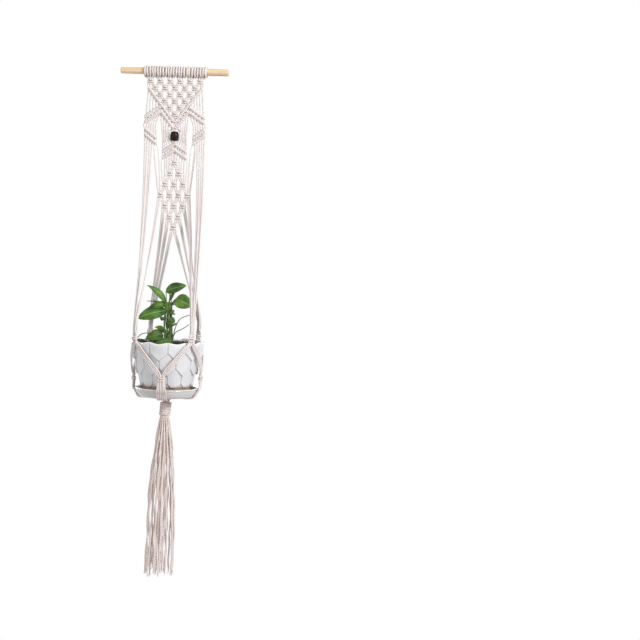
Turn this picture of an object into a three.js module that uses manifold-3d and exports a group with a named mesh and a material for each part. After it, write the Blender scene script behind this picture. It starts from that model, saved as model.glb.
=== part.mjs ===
// A hanging macrame planter: twelve cotton cords folded over a wooden dowel make twenty-four
// strands. They are knotted into a pointed net, two winged side bands, a diamond round a wooden
// bead and a second net, and then part into four legs that cradle a saucer and a glazed pot with
// a small plant. A gathering knot under the saucer ends in a long tassel.
// Millimetres, +Z up, front towards -Y, origin at the middle of the dowel's axis.
import * as THREE from 'three';
import { mergeVertices } from 'three/addons/utils/BufferGeometryUtils.js';
import Module from 'manifold-3d';

const wasm = await Module();
wasm.setup();

// ---------------------------------------------------------------- driving dimensions
const gap = 0.3; // clearance between pieces that touch
const cordRadius = 1.9;
const strandPress = 0.3; // strands side by side press into one another
const bundlePress = 0.7; // and more so inside a bundle of six

const dowelLength = 230;
const dowelRadius = 7.5;
const dowelChamfer = 1.2;

const larkCount = 12;
const larkPitch = 10.9;
const larkSegments = 12;
const larkTurnShare = 0.7; // where the crest of each turn lies between the groove and the edge

const knotWidth = 12.4; // a square knot: four strands
const knotHeight = 12;
const knotDepth = 8.4;
const tailDrop = 9.4; // from the underside of the wraps to the middle of the first row
const upperRowPitch = 14;

const hitchDepth = 9; // a row of double half hitches, front to back
const hitchPress = 0.6; // rows of hitches press into one another
const vRowSpacing = 7.8;
const vStartDrop = 13; // from the first row of knots to the outer ends of the V
const vApexDrop = 14; // from the last row of knots to the point of the V
const wingRowSpacing = 9.2;
const wingInnerX = 34;
const wingOuterX = 64;
const wingUpperRise = 29; // the wing's upper hitches start this far above the V's point
const wingUpperDrop = 21;
const wingSideDrop = 24; // from the upper hitches' outer end to the lower hitches' outer end
const wingLowerInnerX = 40;
const wingLowerDrop = 18;
const wingBulge = 4;
const wingStrands = 6;
const innerRowOverlap = 4; // the V's second row starts this far inside the wing

const beadRadius = 9.25;
const beadHeight = 20;
const boreClearance = 0.65; // round the two strands in the bead's bore
const beadFaceShare = 0.72; // radius of the bead's flat ends, as a share of its own
const beadShoulderShare = 0.92;
const beadDrop = 31.2; // from the point of the V to the middle of the bead
const chevronDrop = 46; // from the point of the V to the point of the inverted V
const chevronRowSpacing = 10.2;
const chevronHalfWidth = 26;
const chevronFall = 21;
const arcStrands = 5;
const arcClearance = 0.7; // from the bead to the nearest strand round it

const lowerRowCounts = [1, 2, 3, 4, 3, 2, 1];
const lowerKnotPitch = 19;
const lowerRowPitch = 23;
const lowerNetDrop = 42; // from the point of the inverted V to the first knot

const legDrop = 234; // from the last knot of the lower net to the knots at the pot's rim
const legKnotWidth = 15;
const rimBelowLegKnot = 7;
const rimClearance = 0.8; // lets the pot's rim lift past the knots
const legBundle = 30; // the strands run side by side this far above the knot
const lowKnotRise = 13; // from the saucer's rim to the knots over it

const potRimRadius = 79.5;
const potHeight = 115.7;
const potBaseRadius = 50;
const potWall = 4.5;
const potCurve = 1.5; // how fast the side curves in towards the foot
const soilDepthBelowRim = 11;
const soilThickness = 80;

const saucerRimRadius = 69;
const saucerBaseRadius = 58;
const saucerHeight = 24;
const saucerWall = 4;
const saucerBulge = 1.2; // how far the saucer's side stands out from a straight cone

const slingStrandPitch = 3.7;
const runStrandPitch = 3.7; // six strands side by side under the saucer

const neckRadius = 6;
const sinnetRadius = 11.2;
const sinnetLength = 31; // from the neck's pivot to the end of the gathering knot
const sinnetTurns = 5;
const sinnetGroove = 1.6;
const sinnetNeck = 3; // from the neck's pivot to the first turn
const tasselTopRadius = 10.5;
const tasselEndRadius = 27;
const tasselLength = 350;

const leafThickness = 1.2;
const stemRadius = 2;
const petioleShare = 0.7; // a leaf's stalk against the main stem

const roundSegments = 32;
const strandSides = 6;

// ---------------------------------------------------------------- levels, from the top down
const larkInnerRadius = (dowelRadius + gap) / Math.cos(Math.PI / larkSegments);
const larkOuterRadius = larkInnerRadius + 2 * cordRadius;
const upperRowZ = (row) => -(larkOuterRadius + tailDrop + row * upperRowPitch);
const upperRows = larkCount / 2;

const vStart = { x: (larkCount - 1) * larkPitch / 2, z: upperRowZ(0) - vStartDrop };
const vApexZ = upperRowZ(upperRows - 1) - vApexDrop;
const vSlope = (vStart.z - vApexZ) / vStart.x;
const vLineZ = (x) => vApexZ + Math.abs(x) * vSlope;
// How far below a sloping row of hitches the next row lies, measured straight down.
const rowFall = ([from, to], spacing) =>
  spacing * Math.hypot(to.x - from.x, to.z - from.z) / Math.abs(to.x - from.x);
const vRowFall = rowFall([vStart, { x: 0, z: vApexZ }], vRowSpacing);

const wingUpper = [
  { x: wingInnerX, z: vApexZ + wingUpperRise },
  { x: wingOuterX, z: vApexZ + wingUpperRise - wingUpperDrop },
];
const wingLower = [
  { x: wingOuterX, z: wingUpper[1].z - wingSideDrop },
  { x: wingLowerInnerX, z: wingUpper[1].z - wingSideDrop - wingLowerDrop },
];

const beadZ = vApexZ - beadDrop;
const chevronZ = vApexZ - chevronDrop;
const chevronLine = [{ x: 0, z: chevronZ }, { x: chevronHalfWidth, z: chevronZ - chevronFall }];

const lowerRowZ = (row) => chevronZ - lowerNetDrop - row * lowerRowPitch;
const legKnotZ = lowerRowZ(lowerRowCounts.length - 1) - legDrop;
const rimZ = legKnotZ - rimBelowLegKnot;
const potBaseZ = rimZ - potHeight;
const saucerFloorZ = potBaseZ - gap;
const saucerBottomZ = saucerFloorZ - saucerWall;
const saucerRimZ = saucerBottomZ + saucerHeight;
const lowKnotZ = saucerRimZ + lowKnotRise;

const legKnotRadius = potRimRadius + rimClearance + knotDepth / 2;
// The knots over the saucer clear its rim, and the pot at the level of their tops.
const potAtLowKnot = potRadius((lowKnotZ + knotHeight / 2 - potBaseZ) / potHeight);
const lowKnotRadius = Math.max(
  saucerRimRadius + 2 * gap + cordRadius, potAtLowKnot + gap + knotDepth / 2);

const runZ = saucerBottomZ - gap - cordRadius;
const pivotZ = runZ - cordRadius * 0.75 - gap - neckRadius; // the neck rises between the ribs
const sinnetBottomZ = pivotZ - sinnetLength;
const tasselTopZ = sinnetBottomZ - gap;
const tasselPivotZ = tasselTopZ - tasselTopRadius;
const tasselBottomZ = tasselTopZ - tasselLength;

// ---------------------------------------------------------------- solids
function toSolid(geometry) {
  geometry.deleteAttribute('normal');
  geometry.deleteAttribute('uv');
  const merged = mergeVertices(geometry, 1e-3);
  const corners = merged.index.array;
  const triangles = [];
  for (let i = 0; i < corners.length; i += 3) {
    const [a, b, c] = [corners[i], corners[i + 1], corners[i + 2]];
    if (a !== b && b !== c && c !== a) triangles.push(a, b, c);
  }
  return new wasm.Manifold(new wasm.Mesh({
    numProp: 3,
    vertProperties: new Float32Array(merged.attributes.position.array),
    triVerts: new Uint32Array(triangles),
  }));
}

function toGeometry(solid) {
  const mesh = solid.getMesh();
  const geometry = new THREE.BufferGeometry();
  geometry.setAttribute('position', new THREE.BufferAttribute(mesh.vertProperties, 3));
  geometry.setIndex(new THREE.BufferAttribute(mesh.triVerts, 1));
  geometry.computeVertexNormals();
  return geometry;
}

const join = (solids) => solids.reduce((whole, solid) => whole.add(solid));
const vector = ([x, y, z]) => new THREE.Vector3(x, y, z);

// Corners of a flattened circle, which is the section of a cord or of a row of hitches.
function ovalShape(halfWidth, halfDepth, sides) {
  const points = [];
  for (let i = 0; i < sides; i++) {
    const angle = (i + 0.5) * 2 * Math.PI / sides;
    points.push(new THREE.Vector2(halfWidth * Math.cos(angle), halfDepth * Math.sin(angle)));
  }
  return new THREE.Shape(points);
}

// A cord along a smooth curve through the points.
function cord(points, steps, radius = cordRadius, sides = strandSides) {
  const path = new THREE.CatmullRomCurve3(points.map(vector), false, 'centripetal');
  const shape = ovalShape(radius, radius, sides);
  return toSolid(new THREE.ExtrudeGeometry(shape, { steps, bevelEnabled: false, extrudePath: path }));
}

// A straight oval bar between two points of the panel's plane, given as { x, z }.
function bar(from, to, halfWidth, halfDepth, sides = strandSides, y = 0) {
  const along = new THREE.Vector3(to.x - from.x, 0, to.z - from.z);
  const length = along.length();
  along.normalize();
  const depthAxis = new THREE.Vector3(0, 1, 0);
  const across = new THREE.Vector3().crossVectors(depthAxis, along);
  const geometry = new THREE.ExtrudeGeometry(
    ovalShape(halfWidth, halfDepth, sides), { depth: length, steps: 1, bevelEnabled: false });
  const place = new THREE.Matrix4().makeBasis(across, depthAxis, along);
  geometry.applyMatrix4(place.setPosition(from.x, y, from.z));
  return toSolid(geometry);
}

// A rounded lump with few faces, for a knot that stands alone.
function roundKnot(position, turn, grow = 0) {
  const geometry = new THREE.SphereGeometry(0.5, 8, 6);
  geometry.rotateX(Math.PI / 2);
  geometry.scale(legKnotWidth + 2 * grow, knotDepth + 2 * grow, knotHeight + 2 * grow);
  geometry.rotateZ(turn);
  geometry.translate(...position);
  return toSolid(geometry);
}

// A profile of [radius, height] pairs turned about Z.
function turned(profile, segments = roundSegments) {
  const outline = profile.map(([radius, height]) => new THREE.Vector2(radius, height));
  const geometry = new THREE.LatheGeometry(outline, segments);
  geometry.rotateX(Math.PI / 2);
  return toSolid(geometry);
}

const cutterSize = 2 * dowelLength; // a block wider than the planter

// Everything above a level.
function above(z) {
  const block = new THREE.BoxGeometry(cutterSize, cutterSize, cutterSize);
  return toSolid(block.translate(0, 0, z + cutterSize / 2));
}

// Everything on one side of the middle plane, half a gap away from it.
function halfSpace(side) {
  const block = new THREE.BoxGeometry(cutterSize, cutterSize, cutterSize);
  return toSolid(block.translate(side * (cutterSize + gap) / 2, 0, 0));
}

// The wedge round the Z axis between two upright planes, half a gap inside them.
function wedge(angle, halfAngle) {
  const reach = 2 * legKnotRadius;
  const tip = gap / 2 / Math.sin(halfAngle);
  const wide = reach * Math.tan(halfAngle);
  const shape = new THREE.Shape([
    new THREE.Vector2(0, -tip),
    new THREE.Vector2(-wide, -tip - reach),
    new THREE.Vector2(wide, -tip - reach),
  ]);
  const geometry = new THREE.ExtrudeGeometry(shape, { depth: legKnotZ - tasselTopZ, bevelEnabled: false });
  return toSolid(geometry.translate(0, 0, tasselTopZ).rotateZ(angle));
}

// ---------------------------------------------------------------- materials and the group
const paint = (color, roughness) => new THREE.MeshStandardMaterial({ color, roughness, metalness: 0 });
const materials = {
  cotton: paint(0xe9dfd8, 0.95),
  wood: paint(0xd8b384, 0.6),
  bead: paint(0x2b1512, 0.35),
  glaze: paint(0xf2f2f2, 0.2),
  soil: paint(0x3b2a20, 1),
  leaf: paint(0x2f6b2c, 0.45),
};

const planter = new THREE.Group();
function addPart(name, material, solid) {
  const mesh = new THREE.Mesh(toGeometry(solid), materials[material]);
  mesh.name = name;
  planter.add(mesh);
}

const sides = { left: -1, right: 1 };
const mirrored = (side, { x, z }) => ({ x: side * x, z });
const pointOn = ([a, b], share) => ({ x: a.x + (b.x - a.x) * share, z: a.z + (b.z - a.z) * share });

// ---------------------------------------------------------------- dowel and lark's heads
function makeDowel() {
  const half = dowelLength / 2;
  const flat = dowelRadius - dowelChamfer;
  const geometry = new THREE.LatheGeometry([
    new THREE.Vector2(0, -half), new THREE.Vector2(flat, -half),
    new THREE.Vector2(dowelRadius, -half + dowelChamfer), new THREE.Vector2(dowelRadius, half - dowelChamfer),
    new THREE.Vector2(flat, half), new THREE.Vector2(0, half),
  ], roundSegments);
  geometry.rotateZ(-Math.PI / 2);
  return toSolid(geometry);
}

const larkX = (index) => (index - (larkCount - 1) / 2) * larkPitch;

// A lark's head: two turns of cord side by side round the dowel, with a groove between them.
function makeLarkHead(index) {
  const half = (larkPitch - gap) / 2;
  const groove = larkOuterRadius - cordRadius / 2;
  const ring = new THREE.LatheGeometry([
    [larkInnerRadius, -half], [larkOuterRadius, -half * larkTurnShare], [groove, 0],
    [larkOuterRadius, half * larkTurnShare], [larkInnerRadius, half], [larkInnerRadius, -half],
  ].map(([r, x]) => new THREE.Vector2(r, x)), larkSegments);
  ring.rotateZ(-Math.PI / 2);
  ring.translate(larkX(index), 0, 0);
  return toSolid(ring);
}

// ---------------------------------------------------------------- nets of square knots
// A knot of a net is a six-sided block, front to back.
function netKnot({ x, z }, grow = 0) {
  const geometry = new THREE.CylinderGeometry(0.5, 0.5, 1, 6);
  geometry.scale(knotWidth + 2 * grow, knotDepth + 2 * grow, knotHeight + 2 * grow);
  geometry.translate(x, 0, z);
  return toSolid(geometry);
}
const pairLink = (from, to, grow = 0) =>
  bar(from, to, 2.6 * cordRadius + grow, 1.3 * cordRadius + grow, 4);
const upperKnot = (row, index) =>
  ({ x: (index - (upperRows - 1 - row) / 2) * 2 * larkPitch, z: upperRowZ(row) });

function makeUpperNet() {
  const solids = [];
  const topZ = -(larkOuterRadius + gap);
  const reach = topZ + 2 * cordRadius; // cut off again, level with the wraps' underside
  for (let index = 0; index < larkCount; index++) {
    const target = upperKnot(0, Math.floor(index / 2));
    const lean = index % 2 === 0 ? -knotWidth / 4 : knotWidth / 4;
    solids.push(pairLink({ x: larkX(index), z: reach }, { x: target.x + lean, z: target.z }));
  }
  for (let row = 0; row < upperRows; row++) {
    const count = upperRows - row;
    for (let index = 0; index < count; index++) {
      const here = upperKnot(row, index);
      solids.push(netKnot(here));
      for (const side of [-1, 1]) {
        const next = index + (side < 0 ? -1 : 0);
        const inside = next >= 0 && next < count - 1;
        const hitchX = here.x + side * larkPitch / 2;
        const target = inside ? upperKnot(row + 1, next) : { x: hitchX, z: vLineZ(hitchX) };
        const start = { x: here.x + side * knotWidth / 5, z: here.z };
        solids.push(pairLink(start, target));
      }
    }
  }
  return join(solids).subtract(above(topZ));
}

const lowerKnot = (row, index) =>
  ({ x: (index - (lowerRowCounts[row] - 1) / 2) * lowerKnotPitch, z: lowerRowZ(row) });
const widestRow = lowerRowCounts.indexOf(Math.max(...lowerRowCounts));

function makeLowerNet(grow = 0) {
  const solids = [];
  lowerRowCounts.forEach((count, row) => {
    for (let index = 0; index < count; index++) {
      solids.push(netKnot(lowerKnot(row, index), grow));
    }
    if (row === 0) return;
    const grows = row <= widestRow;
    const narrow = grows ? row - 1 : row;
    const wide = grows ? row : row - 1;
    for (let index = 0; index < lowerRowCounts[narrow]; index++) {
      for (const step of [0, 1]) {
        solids.push(pairLink(lowerKnot(narrow, index), lowerKnot(wide, index + step), grow));
      }
    }
  });
  const lowerHitch = chevronLine.map(({ x, z }) => ({ x, z: z - chevronRowSpacing }));
  for (const side of Object.values(sides)) {
    for (let row = 0; row < widestRow; row++) {
      const start = pointOn(lowerHitch, (row + 0.6) / widestRow);
      const end = lowerKnot(row, side < 0 ? 0 : lowerRowCounts[row] - 1);
      const into = { x: end.x + side * knotWidth / 5, z: end.z };
      solids.push(pairLink(mirrored(side, start), into, grow));
    }
    const wingEnd = { x: side * wingLower[1].x, z: wingLower[1].z };
    const outer = lowerKnot(widestRow, side < 0 ? 0 : lowerRowCounts[widestRow] - 1);
    solids.push(pairLink(wingEnd, outer, grow));
  }
  return join(solids);
}

// ---------------------------------------------------------------- rows of double half hitches
// Rows of hitches one under another, each an oval bar, between two points of the panel.
function hitchRows(from, to, spacing, grow = 0, rows = 2) {
  const solids = [];
  for (let row = 0; row < rows; row++) {
    const drop = row * rowFall([from, to], spacing);
    solids.push(bar(
      { x: from.x, z: from.z - drop }, { x: to.x, z: to.z - drop },
      spacing / 2 + hitchPress + grow, hitchDepth / 2 + grow, 8));
  }
  return join(solids);
}

function makeVHitches(side, grow = 0) {
  const start = mirrored(side, vStart);
  const first = hitchRows(start, { x: 0, z: vApexZ }, vRowSpacing, grow, 1);
  const innerX = wingInnerX - innerRowOverlap;
  const secondStart = { x: side * innerX, z: vLineZ(innerX) - vRowFall };
  const second = hitchRows(secondStart, { x: 0, z: vApexZ - vRowFall }, vRowSpacing, grow, 1);
  return first.add(second).intersect(halfSpace(side));
}

function makeChevron(side, grow = 0) {
  const [top, end] = chevronLine.map((point) => mirrored(side, point));
  return hitchRows(top, end, chevronRowSpacing, grow).intersect(halfSpace(side));
}

const wingHitches = (side, line, grow = 0) =>
  hitchRows(mirrored(side, line[0]), mirrored(side, line[1]), wingRowSpacing, grow);

// Six strands from the V, the wing's upper hitches, six strands round its tip, its lower hitches.
function makeWing(side) {
  const solids = [wingHitches(side, wingUpper), wingHitches(side, wingLower)];
  const innermost = wingInnerX - innerRowOverlap;
  for (let strand = 0; strand < wingStrands; strand++) {
    const share = (strand + 0.5) / wingStrands;
    const hitch = pointOn(wingUpper, share);
    const topX = innermost + (vStart.x - innermost) * share;
    solids.push(bar(
      mirrored(side, { x: topX, z: vLineZ(topX) }), mirrored(side, hitch), cordRadius, cordRadius));
    const low = pointOn(wingLower, 1 - share);
    const bulge = wingBulge * share;
    const middle = { x: Math.max(hitch.x, low.x) + bulge, z: (hitch.z + low.z) / 2 };
    const route = [hitch, middle, low].map(({ x, z }) => [side * x, 0, z]);
    solids.push(cord(route, 4));
  }
  return join(solids);
}

// ---------------------------------------------------------------- bead and the diamond round it
function makeBead() {
  const half = beadHeight / 2;
  const bore = 2 * cordRadius - strandPress / 2 + boreClearance;
  const face = beadRadius * beadFaceShare;
  const shoulder = beadRadius * beadShoulderShare;
  const shoulderRise = half * beadFaceShare;
  return turned([
    [bore, -half], [face, -half], [shoulder, -shoulderRise], [beadRadius, 0],
    [shoulder, shoulderRise], [face, half], [bore, half], [bore, -half],
  ].map(([radius, height]) => [radius, height + beadZ]), 24);
}

function makeBeadCords() {
  return join([-1, 1].map((side) => {
    const x = side * (cordRadius - strandPress / 2);
    return cord([[x, 0, vApexZ - vRowFall], [x, 0, chevronZ]], 1);
  }));
}

// Strands that leave the V, pass the bead and reach the inverted V.
function makeArcs(side) {
  const solids = [];
  const spacing = 2 * cordRadius - strandPress;
  for (let strand = 0; strand < arcStrands; strand++) {
    const share = (strand + 0.7) / arcStrands;
    const topX = (wingInnerX - innerRowOverlap) * share;
    const middleX = beadRadius + arcClearance + cordRadius + strand * spacing;
    const low = pointOn(chevronLine, share);
    solids.push(cord([
      [side * topX, 0, vLineZ(topX) - vRowFall],
      [side * middleX, 0, beadZ + beadHeight * 0.45],
      [side * middleX, 0, beadZ - beadHeight / 4],
      [side * low.x, 0, low.z],
    ], 4));
  }
  return join(solids);
}

// ---------------------------------------------------------------- legs and cradle
// Places round the pot: angles are taken from the front, towards +X.
const around = (angle, radius, z) => [radius * Math.sin(angle), -radius * Math.cos(angle), z];
const degrees = Math.PI / 180;
const corners = {
  front_left: -45, front_right: 45, back_right: 135, back_left: -135,
};
const faces = { front: 0, right: 90, back: 180, left: -90 };

const legKnot = (angle, grow = 0) => roundKnot(around(angle, legKnotRadius, legKnotZ), angle, grow);
const lowKnot = (angle, grow = 0) => roundKnot(around(angle, lowKnotRadius, lowKnotZ), angle, grow);

// Tops of the six strands of a leg, as they leave the wings and the lower net. The wing's two
// innermost strands go to the lower net, so a front leg gets the other four.
function legTops(side, front) {
  const tops = [];
  if (front) {
    for (let strand = 0; strand < wingStrands - 2; strand++) {
      const { x, z } = pointOn(wingLower, (strand + 0.5) / wingStrands);
      tops.push([side * x, 0, z - rowFall(wingLower, wingRowSpacing)]);
    }
  }
  const rows = front ? [widestRow] : [widestRow + 1, widestRow + 2, widestRow + 3];
  for (const row of rows) {
    const { x, z } = lowerKnot(row, lowerRowCounts[row] - 1);
    const out = row === lowerRowCounts.length - 1 ? gap + cordRadius : knotWidth / 3;
    for (const layer of [-1, 1]) {
      const y = layer * (cordRadius - strandPress / 2);
      tops.push([side * (x + out), y, z - knotHeight / 4]);
    }
  }
  return tops;
}

// Six strands that close up into a bundle two deep and three wide over the knot at the rim.
function makeLeg(side, front) {
  const angle = Math.atan2(side, front ? 1 : -1);
  const [knotX, knotY] = around(angle, legKnotRadius, 0);
  const across = [Math.cos(angle), Math.sin(angle)];
  const outward = [Math.sin(angle), -Math.cos(angle)];
  const spacing = 2 * cordRadius - bundlePress;
  const solids = legTops(side, front).map((top, strand) => {
    const column = Math.floor(strand / 2) - 1;
    const u = -column * side * spacing;
    const v = (strand % 2 - 0.5) * spacing;
    const foot = [knotX + across[0] * u + outward[0] * v, knotY + across[1] * u + outward[1] * v];
    return cord([top, [...foot, legKnotZ + legBundle], [...foot, legKnotZ + knotHeight / 4]], 3);
  });
  return join(solids);
}

// The slings run straight from knot to knot, and no nearer to the pot than its side.
function cradleRadius(z) {
  const share = (legKnotZ - z) / (legKnotZ - lowKnotZ);
  const straight = legKnotRadius + (lowKnotRadius - legKnotRadius) * share;
  return Math.max(straight, potRadius((z - potBaseZ) / potHeight) + 4 * gap + cordRadius);
}

// A flat band of strands side by side: smooth towards the pot, with a rib for each strand outside.
// place(share) gives the middle of the band there, and the direction that its ribs face.
function band(place, steps, strands, pitch) {
  const half = strands * pitch / 2;
  const section = [new THREE.Vector2(half, -cordRadius)];
  for (let strand = 0; strand < strands; strand++) {
    const x = half - (strand + 0.5) * pitch;
    section.push(new THREE.Vector2(x + pitch / 2, cordRadius / 2), new THREE.Vector2(x, cordRadius));
  }
  section.push(new THREE.Vector2(-half, cordRadius / 2), new THREE.Vector2(-half, -cordRadius));
  const geometry = new THREE.ExtrudeGeometry(
    new THREE.Shape(section), { depth: 1, steps, bevelEnabled: false });
  const position = geometry.attributes.position;
  const small = 0.01;
  for (let i = 0; i < position.count; i++) {
    const [x, y, share] = [position.getX(i), position.getY(i), position.getZ(i)];
    const { middle, facing } = place(share);
    const along = place(share + small).middle.sub(place(share - small).middle).normalize();
    const sideways = new THREE.Vector3().crossVectors(facing, along).normalize();
    middle.addScaledVector(sideways, x).addScaledVector(facing, y);
    position.setXYZ(i, middle.x, middle.y, middle.z);
  }
  return toSolid(geometry);
}

// Three strands side by side from a knot at the rim round the pot to a knot over the saucer.
function makeSling(fromAngle, toAngle) {
  const way = Math.sign(toAngle - fromAngle);
  const start = fromAngle + way * slingStrandPitch / legKnotRadius;
  const end = toAngle - way * slingStrandPitch / lowKnotRadius;
  const [topZ, bottomZ] = [legKnotZ - knotHeight / 4, lowKnotZ + knotHeight / 4];
  const place = (share) => {
    const z = topZ + (bottomZ - topZ) * share;
    const angle = start + (end - start) * share;
    return { middle: vector(around(angle, cradleRadius(z), z)), facing: vector(around(angle, 1, 0)) };
  };
  return band(place, 5, 3, slingStrandPitch).intersect(wedge((fromAngle + toAngle) / 2, Math.PI / 8));
}

// Six strands over the saucer's side and under its base to the middle.
function makeRun(angle) {
  const off = gap + cordRadius;
  const route = new THREE.CatmullRomCurve3([
    [lowKnotRadius, lowKnotZ - knotHeight / 4],
    [saucerRimRadius + off + 0.2, saucerRimZ - 1],
    [(saucerRimRadius + saucerBaseRadius) / 2 + off + 1.6, saucerBottomZ + saucerHeight / 2],
    [saucerBaseRadius + off, saucerBottomZ - off * 0.3],
    [saucerBaseRadius - 5, runZ],
    [saucerBaseRadius / 2, runZ],
    [0, runZ],
  ].map(([r, z]) => vector(around(angle, r, z))), false, 'centripetal');
  const across = vector([Math.cos(angle), Math.sin(angle), 0]);
  const place = (share) => {
    const at = Math.min(Math.max(share, 0), 1);
    const facing = new THREE.Vector3().crossVectors(route.getTangentAt(at), across);
    const middle = route.getPointAt(at).addScaledVector(route.getTangentAt(at), share - at);
    return { middle, facing };
  };
  return band(place, 12, 6, runStrandPitch).intersect(wedge(angle, Math.PI / 4));
}

// ---------------------------------------------------------------- gathering knot and tassel
function makeGatheringKnot() {
  const profile = [[0, pivotZ + neckRadius], [neckRadius * 0.6, pivotZ + neckRadius * 0.8]];
  profile.push([neckRadius, pivotZ]);
  const top = pivotZ - sinnetNeck;
  const pitch = (top - sinnetBottomZ) / sinnetTurns;
  for (let turn = 0; turn < sinnetTurns; turn++) {
    const z = top - turn * pitch;
    profile.push([sinnetRadius - sinnetGroove, z], [sinnetRadius, z - pitch / 2]);
  }
  profile.push([sinnetRadius - sinnetGroove, sinnetBottomZ], [0, sinnetBottomZ]);
  return turned(profile.reverse(), 16);
}

function makeTassel() {
  const r = tasselTopRadius;
  return turned([
    [0, tasselBottomZ], [tasselEndRadius, tasselBottomZ],
    [r + (tasselEndRadius - r) * 0.35, tasselPivotZ - tasselLength * 0.3],
    [r, tasselPivotZ], [r * 0.7, tasselPivotZ + r * 0.7], [0, tasselTopZ],
  ], 16);
}

// ---------------------------------------------------------------- saucer, pot, soil and plant
function makeSaucer() {
  const inner = saucerBaseRadius - saucerWall / 2;
  return turned([
    [0, saucerBottomZ], [saucerBaseRadius - 2, saucerBottomZ], [saucerBaseRadius, saucerBottomZ + 1.5],
    [(saucerRimRadius + saucerBaseRadius) / 2 + saucerBulge, saucerBottomZ + saucerHeight / 2],
    [saucerRimRadius, saucerRimZ - 1], [saucerRimRadius - 1, saucerRimZ],
    [saucerRimRadius - saucerWall + 1, saucerRimZ - 0.5],
    [inner, saucerFloorZ], [0, saucerFloorZ],
  ]);
}

// The pot's outer radius at a share of its height, from the foot up to the rim.
function potRadius(share) {
  return potRimRadius - (potRimRadius - potBaseRadius) * Math.max(1 - share, 0) ** potCurve;
}

function makePot() {
  const stations = 6;
  const outer = [];
  const inner = [];
  for (let i = 0; i <= stations; i++) {
    const share = i / stations;
    outer.push([potRadius(share), potBaseZ + share * potHeight]);
    const innerShare = potWall / potHeight + share * (1 - potWall / potHeight);
    inner.push([potRadius(innerShare) - potWall, potBaseZ + innerShare * potHeight]);
  }
  return turned([[0, potBaseZ], ...outer, ...inner.reverse(), [0, potBaseZ + potWall]]);
}

function makeSoil() {
  const topZ = rimZ - soilDepthBelowRim;
  const stations = 3;
  const side = [];
  for (let i = 0; i <= stations; i++) {
    const z = topZ - soilThickness + soilThickness * i / stations;
    side.push([potRadius((z - potBaseZ) / potHeight) - potWall - 2 * gap, z]);
  }
  return turned([[0, topZ - soilThickness], ...side, [0, topZ]]);
}

// Leaves as base, tip, half width and the way the face looks; heights are above the soil.
const leaves = [
  { base: [5, -4, 119], tip: [38, -12, 130], half: 11, face: [0.1, -0.65, 0.75] },
  { base: [-4, -6, 104], tip: [-42, -14, 127], half: 9, face: [0.5, -0.55, 0.65] },
  { base: [13, -16, 108], tip: [47, -26, 84], half: 16, face: [0.2, -0.95, 0.25] },
  { base: [-10, -14, 83], tip: [-59, -22, 66], half: 15, face: [-0.1, -0.8, 0.6] },
  { base: [-6, 8, 88], tip: [-38, 22, 82], half: 11, face: [-0.3, -0.5, 0.8] },
  { base: [4, -12, 66], tip: [18, -22, 58], half: 7, face: [0.2, -0.9, 0.35] },
  { base: [-12, -2, 98], tip: [-50, 6, 96], half: 7, face: [0, -0.35, 0.95] },
  { base: [-12, -16, 22], tip: [-46, -30, 28], half: 11, face: [0, -0.8, 0.6] },
  { base: [-2, -22, 12], tip: [22, -40, 16], half: 10, face: [0, -0.7, 0.7] },
  { base: [10, 14, 92], tip: [40, 30, 100], half: 13, face: [0.2, -0.3, 0.9] },
  { base: [2, 16, 66], tip: [-14, 50, 74], half: 13, face: [-0.2, 0.3, 0.9] },
];
const stemTop = [3, -4, 116];
const stalkRise = 14; // a leaf's stalk leaves the stem this far below the leaf
const crownHeight = 5;
const sprigs = [
  [[7, -4, 2], [20, -12, 34], [44, -14, 58]],
  [[6, -5, 2], [26, -16, 28], [44, -20, 38]],
  [[-7, 0, 2], [-36, -4, 22], [-60, -6, 24]],
];

function makeLeaf({ base, tip, half, face }) {
  const along = vector(tip).sub(vector(base));
  const length = along.length();
  along.normalize();
  const normal = vector(face);
  const across = new THREE.Vector3().crossVectors(normal, along).normalize();
  normal.crossVectors(along, across);
  const outline = [];
  const stations = 4;
  for (const side of [-1, 1]) {
    for (let i = side < 0 ? 0 : 1; i < stations + (side < 0 ? 1 : 0); i++) {
      const share = side < 0 ? i / stations : 1 - i / stations;
      const width = half * Math.sin(Math.PI * share ** 0.75) ** 0.8;
      outline.push(new THREE.Vector2(share * length, side * Math.max(width, 0)));
    }
  }
  const geometry = new THREE.ExtrudeGeometry(
    new THREE.Shape(outline), { depth: leafThickness, bevelEnabled: false });
  geometry.translate(0, 0, -leafThickness / 2);
  geometry.applyMatrix4(new THREE.Matrix4().makeBasis(along, across, normal).setPosition(...base));
  return toSolid(geometry);
}

function makePlant() {
  const stem = cord([[0, 0, 4], [4, -2, 50], stemTop], 3, stemRadius);
  const crown = turned([[0, 0], [12, 0], [8, crownHeight], [0, crownHeight + 2]], 8);
  const solids = [crown, stem];
  const stalkRadius = stemRadius * petioleShare;
  for (const leaf of leaves) {
    solids.push(makeLeaf(leaf));
    const height = Math.max(crownHeight, leaf.base[2] - stalkRise);
    const onStem = stemTop.map((value) => value * height / stemTop[2]);
    const inLeaf = vector(leaf.base).lerp(vector(leaf.tip), 0.2).toArray();
    solids.push(cord([onStem, leaf.base, inLeaf], 2, stalkRadius, 4));
  }
  for (const sprig of sprigs) solids.push(cord(sprig, 3, stalkRadius, 4));
  return join(solids).translate([0, 0, rimZ - soilDepthBelowRim + gap]);
}

// ---------------------------------------------------------------- assembly
addPart('dowel', 'wood', makeDowel());
for (let index = 0; index < larkCount; index++) {
  addPart(`lark_head_${String(index + 1).padStart(2, '0')}`, 'cotton', makeLarkHead(index));
}

const vGrown = makeVHitches(-1, gap).add(makeVHitches(1, gap));
const chevronGrown = makeChevron(-1, gap).add(makeChevron(1, gap));
const wingsGrown = join(Object.values(sides).flatMap(
  (side) => [wingHitches(side, wingUpper, gap), wingHitches(side, wingLower, gap)]));

const lowerNetGrown = makeLowerNet(gap);

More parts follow.
